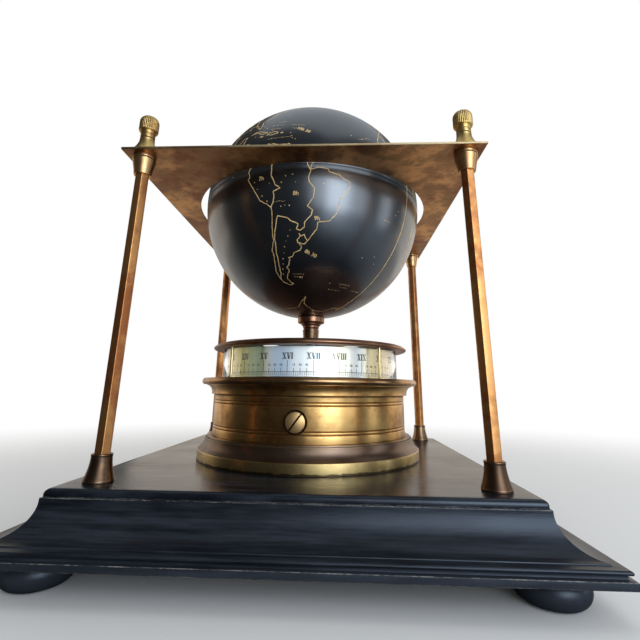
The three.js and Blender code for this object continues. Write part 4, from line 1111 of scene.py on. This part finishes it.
# Globe
# Two spun brass shells, lacquered black and joined at the equator, turn with the spindle that passes through
# them. A turned collar holds them from below and a nut on the pole from above.
_, globe_high = box_of("globe_lower_shell")
globe_r = globe_high[0]
globe_z = 197.991 * MM
shell = 1.5 * MM
lacquer_finish = new_finish("black_lacquer")
orange_peel = lacquer_finish.noise(2.4 * MM, 2)
wipe = lacquer_finish.noise(26 * MM, 4, sharpness=0.6)
lint = lacquer_finish.between(lacquer_finish.noise(0.7 * MM, 2), 0.745, 0.78)
lacquer = lacquer_finish.cover({
    "Base Color": lacquer_finish.mix(lint * 0.5, (0.004, 0.005, 0.006), (0.10, 0.11, 0.12)),
    "Roughness": 0.22 + wipe * 0.22 + lint * 0.2,
    "Normal": lacquer_finish.bump(orange_peel, 0.010 * MM),
    "Specular IOR Level": 1.0,
    # Painted sheen: the bluish specular tint colours the globe's reflections cool.
    "Specular Tint": (0.72, 0.85, 1.0),
    "Coat Weight": 0.5 + wipe * 0.5,
    "Coat Roughness": 0.24,
    "Coat IOR": 2.2,
})
seam = 0.12 * MM
pole_r = 3 * MM
low_start = -90 + math.degrees(math.asin(pole_r / globe_r))
seam_angle = math.degrees(seam / globe_r)
for name, start, end in (("lower_shell", low_start, 0), ("upper_shell", seam_angle, -low_start)):
    shell_section = np.concatenate([
        arc((0, globe_z), (globe_r, globe_r), start, end, 64),
        arc((0, globe_z), (globe_r - shell, globe_r - shell), end, start, 32),
    ])
    spun = turned(name, shell_section, 0.05 * MM, 192, closed=True)
    fit(spun, lacquer, "black_lacquer", "globe", "globe_" + name)

collar_low, collar_high = box_of("globe_collar")
collar_r, cup_r, flange_z = collar_high[0], 7 * MM, collar_high[2] - 4.3 * MM
collar_outline = [
    [bush_bore, collar_low[2]],
    *stepped(sleeve_r, collar_low[2], (-0.5, 0), (-0.5, 0.5), (0, 1.0), (0.1, 2.4)),
    *stepped(cup_r, flange_z, (-0.5, -1.6), (0, -0.3)),
    *stepped(collar_r, flange_z, (-0.3, 0), (0, 0.5), (0, 3.5)),
    *stepped(collar_r, collar_high[2], (-0.4, 0)),
    *stepped(cup_r, collar_high[2], (0, -0.25)),
    *stepped(bush_bore, collar_high[2], (0, -0.5)),
]
collar = turned("collar_cup", collar_outline, 0.25 * MM, 96, closed=True)
fit(collar, cap_brass, "aged_brass", "globe", "globe_collar")
nut_low, nut_high = box_of("pole_nut")
nut_r, nut_rim, nut_top = nut_high[0], nut_low[2] + 0.8 * MM, nut_high[2]
pole_cap = turned("pole_cap", [
    [0, nut_low[2]],
    [nut_r, nut_low[2]],
    [nut_r, nut_rim],
    *arc((0, nut_rim), (nut_r - 0.1 * MM, nut_top - nut_rim), 8, 90, 10),
], 0.2 * MM, 64)
fit(pole_cap, pale_brass, "pale_brass", "globe", "pole_nut")

# Gilt map
# Coasts, the stepped borders of the hour zones, towns and zone numbers are drawn with a pen in gold on the
# black. Places are (latitude, longitude), for coasts, borders and towns in tenths of a degree, one after
# another. A meridian lies globe_turn degrees further round to the right than its longitude.
gilding = new_finish("gilt_line")
worn_gilt = gilding.noise(3 * MM, 4, sharpness=0.7)
gilt = gilding.cover({
    "Base Color": gilding.mix(gilding.between(worn_gilt, 0.3, 0.6), (0.76, 0.43, 0.15), (1.0, 0.72, 0.33)),
    "Metallic": 0.05,
    "Roughness": 0.35 + worn_gilt * 0.2,
})
globe_turn = 55
gilt_rise, gilt_sink = 0.03 * MM, 0.1 * MM


def places(tenths):
    """Rows of (latitude, longitude) in degrees from a plain run of tenths."""
    return np.array(tenths).reshape(-1, 2) / 10


coasts = [places(route) for route in (
    # The land that faces the front
    [87, -774, 104, -755, 112, -742, 124, -717, 109, -715, 121, -700, 106, -670, 106, -642, 107, -620, 98,
     -617, 85, -600, 68, -582, 59, -552, 57, -539, 44, -517, 17, -500, 0, -515, -30, -521, -17, -486, -24,
     -449, -38, -440, -46, -398, -64, -372, -68, -354, -95, -347, -121, -365, -151, -390, -178, -390,
     -215, -401, -248, -428, -255, -484, -286, -488, -303, -503, -321, -521, -338, -534, -349, -549, -349,
     -562, -343, -580, -355, -572, -364, -567, -380, -575, -389, -610, -407, -623, -410, -645, -422, -640,
     -433, -652, -450, -656, -460, -674, -472, -658, -493, -676, -516, -690, -524, -684, -538, -677, -547,
     -653, -556, -680, -549, -705, -535, -730, -515, -745, -490, -753, -468, -754, -438, -743, -418, -739,
     -398, -734, -372, -736, -352, -725, -330, -716, -300, -714, -270, -708, -236, -704, -202, -701, -184,
     -703, -164, -731, -150, -754, -120, -771, -90, -786, -69, -800, -44, -813, -34, -802, -10, -810, 5,
     -800, 17, -789, 38, -772, 56, -774, 72, -779],
    # The land north of it
    [72, -779, 89, -795, 74, -805, 83, -830, 100, -858, 130, -876, 140, -915, 160, -948, 158, -970, 180,
     -1025, 200, -1056, 232, -1065, 270, -1098, 313, -1130, 310, -1148, 280, -1128, 242, -1104, 229,
     -1099, 260, -1122, 280, -1150, 326, -1172, 344, -1205, 380, -1230, 430, -1244, 483, -1247, 505,
     -1275, 545, -1305, 590, -1375, 605, -1460, 570, -1535, 550, -1610, 587, -1580, 615, -1655, 655,
     -1675, 685, -1660, 713, -1565, 700, -1430, 690, -1350, 700, -1260, 680, -1150, 685, -1050, 675, -970,
     715, -950, 695, -870, 665, -860, 620, -930, 588, -945, 570, -900, 552, -830, 513, -800, 548, -795,
     595, -778, 623, -750, 605, -650, 555, -600, 520, -557, 500, -600, 502, -660, 488, -645, 460, -620,
     455, -610, 435, -658, 450, -670, 417, -700, 406, -738, 370, -760, 352, -756, 320, -810, 270, -800,
     252, -805, 280, -828, 300, -840, 303, -880, 290, -900, 295, -940, 275, -974, 223, -978, 187, -958,
     183, -918, 214, -902, 215, -870, 180, -880, 158, -885, 158, -840, 110, -838, 90, -822, 94, -798, 87,
     -774],
    # Islands between the two
    [220, -849, 231, -820, 224, -790, 207, -750, 200, -745, 199, -777, 215, -790, 222, -820, 220, -849],
    [198, -732, 198, -700, 186, -684, 178, -712, 183, -743, 198, -732],
    [184, -782, 182, -763, 179, -770, 184, -782],
    [184, -672, 184, -657, 180, -662, 184, -672],
    # Islands of the north
    [600, -435, 650, -400, 685, -270, 720, -220, 770, -190, 815, -140, 835, -320, 820, -550, 785, -680,
     760, -660, 720, -555, 680, -535, 640, -515, 605, -470, 600, -435],
    [655, -240, 664, -180, 655, -140, 634, -185, 640, -225, 655, -240],
    [501, -55, 507, 10, 528, 17, 545, -10, 576, -20, 586, -40, 560, -60, 542, -30, 518, -50, 501, -55],
    [516, -100, 543, -100, 553, -72, 522, -63, 516, -100],
    # The great land round the back
    [360, -56, 370, -88, 432, -92, 435, -16, 474, -26, 486, -47, 497, -15, 511, 20, 535, 65, 570, 82, 542,
     108, 545, 190, 575, 220, 595, 290, 603, 230, 635, 215, 658, 240, 620, 175, 560, 157, 555, 130, 590,
     107, 582, 75, 620, 50, 670, 135, 710, 260, 680, 400, 645, 360, 665, 435, 685, 550, 690, 670, 730,
     700, 725, 800, 765, 1000, 735, 1130, 715, 1370, 700, 1600, 695, 1780, 660, 1900, 645, 1780, 600,
     1650, 560, 1625, 512, 1568, 570, 1560, 615, 1630, 593, 1500, 545, 1370, 485, 1402, 430, 1325, 395,
     1275, 352, 1290, 345, 1265, 380, 1250, 407, 1215, 380, 1180, 370, 1223, 315, 1218, 255, 1195, 223,
     1140, 215, 1085, 160, 1082, 105, 1070, 87, 1049, 130, 1005, 70, 1003, 13, 1040, 60, 1004, 135, 985,
     160, 944, 223, 915, 215, 875, 160, 815, 103, 799, 81, 775, 150, 740, 210, 728, 223, 692, 252, 665,
     256, 580, 298, 505, 243, 515, 260, 563, 225, 598, 170, 550, 127, 450, 200, 405, 280, 347, 313, 323,
     367, 360, 363, 300, 370, 275, 405, 265, 412, 300, 420, 350, 415, 415, 453, 370, 465, 315, 430, 280,
     408, 240, 379, 240, 367, 225, 418, 193, 455, 137, 442, 123, 402, 184, 380, 158, 410, 138, 443, 88,
     432, 40, 412, 20, 376, -8, 360, -56],
    # The land south of that, with its island
    [313, 323, 270, 340, 210, 372, 150, 398, 115, 432, 118, 512, 50, 482, -20, 410, -65, 394, -150, 406,
     -200, 348, -258, 328, -338, 260, -348, 200, -330, 179, -230, 144, -160, 118, -90, 131, -10, 90, 44,
     92, 64, 30, 47, -20, 44, -76, 85, -132, 147, -175, 210, -170, 278, -130, 335, -80, 358, -58, 370,
     100, 330, 115, 325, 150, 303, 190, 328, 225, 313, 323],
    [-120, 493, -170, 496, -252, 468, -240, 437, -195, 444, -158, 465, -120, 493],
    # Islands off its eastern side
    [330, 1302, 348, 1368, 354, 1405, 400, 1420, 433, 1455, 454, 1418, 415, 1402, 370, 1370, 355, 1330,
     330, 1302],
    [185, 1208, 140, 1240, 70, 1260, 65, 1220, 120, 1205, 185, 1208],
    [55, 954, 0, 1040, -58, 1058, -30, 1010, 55, 954],
    [-65, 1055, -75, 1143, -83, 1120, -65, 1055],
    [70, 1170, 40, 1183, -40, 1158, -30, 1103, 20, 1097, 70, 1170],
    [15, 1250, 5, 1202, -55, 1196, -45, 1225, 15, 1250],
    [-5, 1310, -28, 1410, -65, 1475, -105, 1505, -80, 1435, -75, 1385, -5, 1310],
    # The southern land and its neighbours
    [-120, 1310, -118, 1367, -175, 1405, -108, 1425, -193, 1470, -255, 1530, -325, 1525, -376, 1500, -388,
     1463, -380, 1405, -320, 1330, -320, 1280, -340, 1235, -343, 1152, -265, 1134, -218, 1142, -180, 1223,
     -140, 1270, -120, 1310],
    [-408, 1448, -409, 1482, -435, 1470, -408, 1448],
    [-345, 1728, -378, 1783, -414, 1752, -390, 1738, -345, 1728],
    [-407, 1728, -438, 1730, -465, 1690, -450, 1670, -407, 1728],
    # The land round the south pole
    [-635, -570, -680, -640, -730, -750, -725, -980, -750, -1150, -770, -1500, -780, 1650, -705, 1680,
     -675, 1450, -665, 1150, -670, 850, -675, 550, -695, 300, -700, 50, -720, -120, -775, -300, -760,
     -500, -690, -610, -635, -570],
)]
zone_borders = [places(route) for route in (
    [0, -694, -48, -695, -91, -675, -104, -654, -119, -689, -133, -684, -164, -691, -188, -704],
    [59, -528, 32, -534, 8, -538, -11, -533, -30, -521, -64, -530, -87, -525, -116, -504, -150, -508,
     -188, -533, -206, -509, -226, -518, -257, -548, -279, -551, -290, -569, -285, -587, -263, -578, -246,
     -617, -232, -637, -224, -677, -272, -692, -312, -706, -360, -709, -419, -715, -489, -727, -517, -740],
    [-304, -576, -315, -570, -333, -588, -346, -586],
    [-315, -570, -310, -550, -338, -534],
    [0, -694, 40, -690, 65, -720, 119, -715],
    [259, -972, 315, -1010, 370, -1020, 430, -1010, 490, -1040, 550, -1020, 600, -1030, 680, -1000],
    [298, -850, 350, -860, 416, -870, 460, -880, 480, -900, 550, -890],
    [315, -1130, 370, -1140, 420, -1120, 445, -1160, 490, -1160, 550, -1200, 600, -1210, 690, -1220],
    [470, -680, 520, -680, 570, -680, 600, -660],
    [434, -18, 426, 30],
    [544, 190, 500, 240, 480, 230, 450, 205, 400, 200],
    [594, 280, 520, 310, 466, 310],
    [670, 500, 580, 540, 500, 520, 440, 490],
    [690, 670, 600, 660, 520, 620, 420, 600, 300, 610, 252, 615],
    [730, 820, 600, 830, 500, 860, 360, 760, 280, 820, 250, 890],
    [740, 1040, 600, 1060, 500, 980, 420, 960, 280, 970, 200, 1000, 100, 990],
    [710, 1270, 600, 1280, 530, 1220, 440, 1150, 300, 1080, 210, 1060],
    [705, 1460, 600, 1450, 500, 1350, 435, 1310],
    [-148, 1290, -260, 1290, -318, 1290],
    [-164, 1380, -260, 1380, -260, 1410, -380, 1410],
    [356, 100, 200, 140, 60, 100, -50, 160, -170, 130, -286, 170],
    [315, 250, 200, 250, 80, 240, -50, 300, -120, 340, -220, 310, -260, 326],
    [276, -120, 200, -100, 120, -80, 50, -50],
)]
crossing = [(latitude, -2 + 3 * math.cos(math.radians(latitude))) for latitude in range(-74, 75, 4)]
towns = places([
    -64, -778, -80, -705, -98, -764, -131, -743, -157, -720, -82, -649, -85, -586, -90, -464, -92, -408,
    -288, -620, -314, -634, -335, -647, -360, -660, -388, -671, -415, -682, -440, -690, -466, -702, -491,
    -707, -185, -655, -182, -636, -184, -616, -55, -630, -50, -600, -515, -595, -517, -580, -543, -365,
    -159, -70, -135, -58, -390, -206, -405, -100, -371, -123, 180, -330, 160, -240, 150, -233, 280, -160,
    385, -280, 323, -648, 250, -770, 240, -755, 215, -720, 175, -620, 154, -613, 140, -610, 132, -596,
    265, -780, 193, -812, -5, -908, 205, -1570, 214, -1580, -176, -1495, -140, -1710, -180, 1780, -210,
    1655, 70, 1345, 134, 1448, -210, 555, -202, 575, 40, 730, -120, 970, 350, 330, 352, 250, 400, 90, 420,
    90, 375, 145, 510, -990, 450, -930, 390, -950, 340, -1060, 520, 100, 480, 50, 400, -40, 550, 370, 300,
    310, 90, 80, -260, 280, 280, 770, 190, 730, 390, 1160, 310, 1120, 357, 1380, -340, 1510, -320, 1160,
    -250, 1340, 620, 900, 560, 600, 500, 750, 620, 1300,
])
hours = {
    "7h": (-5.3, -74.3), "8h": (-13.4, -58.5), "9h": (-24, -48.9), "6h": (35, -92), "5h": (40, -107),
    "4h": (43, -119), "10h": (62, -45), "1h": (47, 10), "2h": (24, 29), "3h": (56, 41), "11h": (16, -2),
    "14h": (36, 66), "16h": (57, 94), "18h": (35, 103), "20h": (-25, 123), "22h": (-28, 147),
    "21h": (66, 137),
}
slanted_hours = {"8h 30": (-39.5, -51.7), "10h 30": (19, -56)}
# Each row of small writing: its place in degrees, how many marks it has, and its lean.
place_marks = [
    (-16.3, -65.5, 7, 0), (-54.3, -23.3, 8, 0), (-56, -23, 6, 0), (-58.2, -29.8, 9, 0),
    (-57.3, -8.7, 7, 0), (-49.5, -60, 8, 0), (-51, -60, 6, 0), (-11, -100, 4, 0), (-13, -108.6, 4, 0),
    (22, -70, 7, -8), (24.5, -69, 9, -8), (26.8, -67, 6, -8), (23, -58.5, 9, -6), (20.3, -58, 8, -6),
    (15.2, -69, 10, 0), (15, -63.5, 6, 0), (18.5, -24.7, 8, 20), (17, -28, 5, 20), (27, -88, 7, -70),
    (28.5, -84, 6, -40), (38, -77, 7, 60), (-20, -12, 6, 0), (25, -95, 5, 0), (-30, 25, 6, 0),
    (10, 20, 8, 0), (25, 45, 7, 0), (47, 70, 9, 0), (15, 78, 6, 60), (-5, 115, 8, 0), (-18, 145, 6, 0),
    (60, 110, 9, 0), (65, -110, 8, 0), (0, -150, 6, 0), (-22, 75, 6, 0),
]
pole_rings = [[(latitude, longitude) for longitude in range(0, 361, 6)] for latitude in (-84, 84)]


def on_globe(latitude, longitude):
    """Points over places, from the globe's middle: a radius of cos(latitude) round the axis, and a height of
    sin(latitude), both times the globe's radius."""
    rise, turn = np.radians(latitude), np.radians(np.asarray(longitude) + globe_turn)
    return globe_r * round_axis(np.cos(rise), turn, np.sin(rise))


pen_step, pen_unevenness = 0.8 * MM, 0.12


def pen_line(route, width, wander, random):
    """A low closed strip of gold along a route. The line is cut in steps of about a pen_step and moved
    aside at each by smoothed random amounts; the strip reaches half a width to either side of it."""
    spots = on_globe(*np.asarray(route, float).T)
    length = np.linalg.norm(np.diff(spots, axis=0), axis=1)
    counts = np.maximum(2, np.ceil(length / pen_step).astype(int))
    start = np.repeat(np.arange(len(counts)), counts)
    share = np.concatenate([np.arange(count) / count for count in counts])[:, None]
    line = np.concatenate([spots[start] * (1 - share) + spots[start + 1] * share, spots[-1:]])
    drift = random.normal(0, wander, line.shape)
    drift = (drift + np.roll(drift, 1, 0) + np.roll(drift, -1, 0)) / 3
    drift[[0, -1]] = 0
    line = line + drift
    line /= np.linalg.norm(line, axis=1, keepdims=True)
    aside = np.cross(line, np.gradient(line, axis=0))
    half = aside / np.linalg.norm(aside, axis=1, keepdims=True) * width / 2
    half *= 1 + random.normal(0, pen_unevenness, (len(line), 1))
    over, under = line * (globe_r + gilt_rise), line * (globe_r - gilt_sink)
    strip = np.stack([over + half, over - half, under - half, under + half], 1)
    last = 4 * (len(line) - 1)
    i, j = np.arange(0, last, 4)[:, None], np.arange(4)[None]
    after = (j + 1) % 4
    walls = np.stack([i + j, i + after, i + 4 + after, i + 4 + j], 2).reshape(-1, 4).tolist()
    ends = [[3, 2, 1, 0], [last, last + 1, last + 2, last + 3]]
    return strip.reshape(-1, 3) + [0, 0, globe_z], walls + ends


def dot(place, radius):
    """A low six-sided dot of gold at a place."""
    middle = on_globe(*place)
    upward = middle / np.linalg.norm(middle)
    aside = np.cross([0, 0, 1], upward)
    aside /= np.linalg.norm(aside)
    a = np.arange(6) * math.tau / 6
    rim = (np.cos(a)[:, None] * aside + np.sin(a)[:, None] * np.cross(upward, aside)) * radius
    points = np.concatenate([rim + upward * (globe_r + rise) for rise in (gilt_rise, -gilt_sink)])
    sides = [[corner, (corner + 1) % 6, (corner + 1) % 6 + 6, corner + 6] for corner in range(6)]
    return points + [0, 0, globe_z], sides + [list(range(6)), list(range(11, 5, -1))]


def label(words, place, height, lean):
    """A number written on the globe round a place, turned by an angle in degrees."""
    flat, faces = written(words, height, (gilt_rise + gilt_sink) / 2)
    across, up = (flat[:, :2] @ turning(math.radians(lean))).T
    latitude = place[0] + np.degrees(up / globe_r)
    longitude = place[1] + np.degrees(across / globe_r / math.cos(math.radians(place[0])))
    rise = (gilt_rise - gilt_sink) / 2 + flat[:, 2]
    return on_globe(latitude, longitude) * (1 + rise / globe_r)[:, None] + [0, 0, globe_z], faces


mark_step, mark_wander = 0.72, 0.12  # degrees from one small mark to the next, and up or down
mark_least_r, mark_most_r = 0.16, 0.27  # mm


def small_writing(latitude, longitude, count, lean, random):
    """A short row of marks too small to read, dots of uneven height and size."""
    up = math.sin(math.radians(lean)) * mark_step
    along = math.cos(math.radians(lean)) * mark_step / math.cos(math.radians(latitude))
    return [
        dot((latitude + up * step + random.normal(0, mark_wander), longitude + along * step),
            random.uniform(mark_least_r, mark_most_r) * MM)
        for step in np.arange(count) - count / 2
    ]


random = np.random.default_rng(7)
coast_w, border_w, crossing_w, ring_w, town_r = mm(0.45, 0.52, 0.62, 0.3, 0.34)
gilded = [pen_line(route, coast_w, 0.22 * MM, random) for route in coasts]
gilded += [pen_line(route, border_w, 0.2 * MM, random) for route in zone_borders]
gilded += [pen_line(crossing, crossing_w, 0.02 * MM, random)]
gilded += [pen_line(route, ring_w, 0, random) for route in pole_rings]
gilded += [dot(place, town_r * random.uniform(0.7, 1.2)) for place in towns]
for row in place_marks:
    gilded += small_writing(*row, random)
gilded += [label(words, place, 2.5 * MM, 0) for words, place in hours.items()]
gilded += [label(words, place, 2.4 * MM, -28) for words, place in slanted_hours.items()]
fit(gathered("gilt_map", gilded), gilt, "pale_brass", "globe")

# Battery movement
# A movement in a moulded plastic case hangs under the drum's deck by the nut on its pipe. Its battery lies in
# it from below, and both are reached through the well in the stand.
plastic = new_finish("black_plastic")
grainy = plastic.noise(0.5 * MM, 2)
dress(plastic.cover({
    "Base Color": plastic.mix(plastic.noise(14 * MM, 3), (0.018, 0.018, 0.019), (0.032, 0.032, 0.034)),
    "Roughness": 0.45 + grainy * 0.15,
    "Normal": plastic.bump(grainy, 0.02 * MM),
}), "movement_case", "setting_knob")
jacket = new_finish("battery_sleeve")
shrink = jacket.noise(6 * MM, 3, stretch=(0.3, 1, 1))
dress(jacket.cover({
    "Base Color": jacket.mix(shrink, (0.07, 0.15, 0.09), (0.10, 0.20, 0.12)),
    "Roughness": 0.3 + shrink * 0.15,
    "Normal": jacket.bump(shrink, 0.03 * MM),
}), "battery")

bpy.context.view_layer.update()
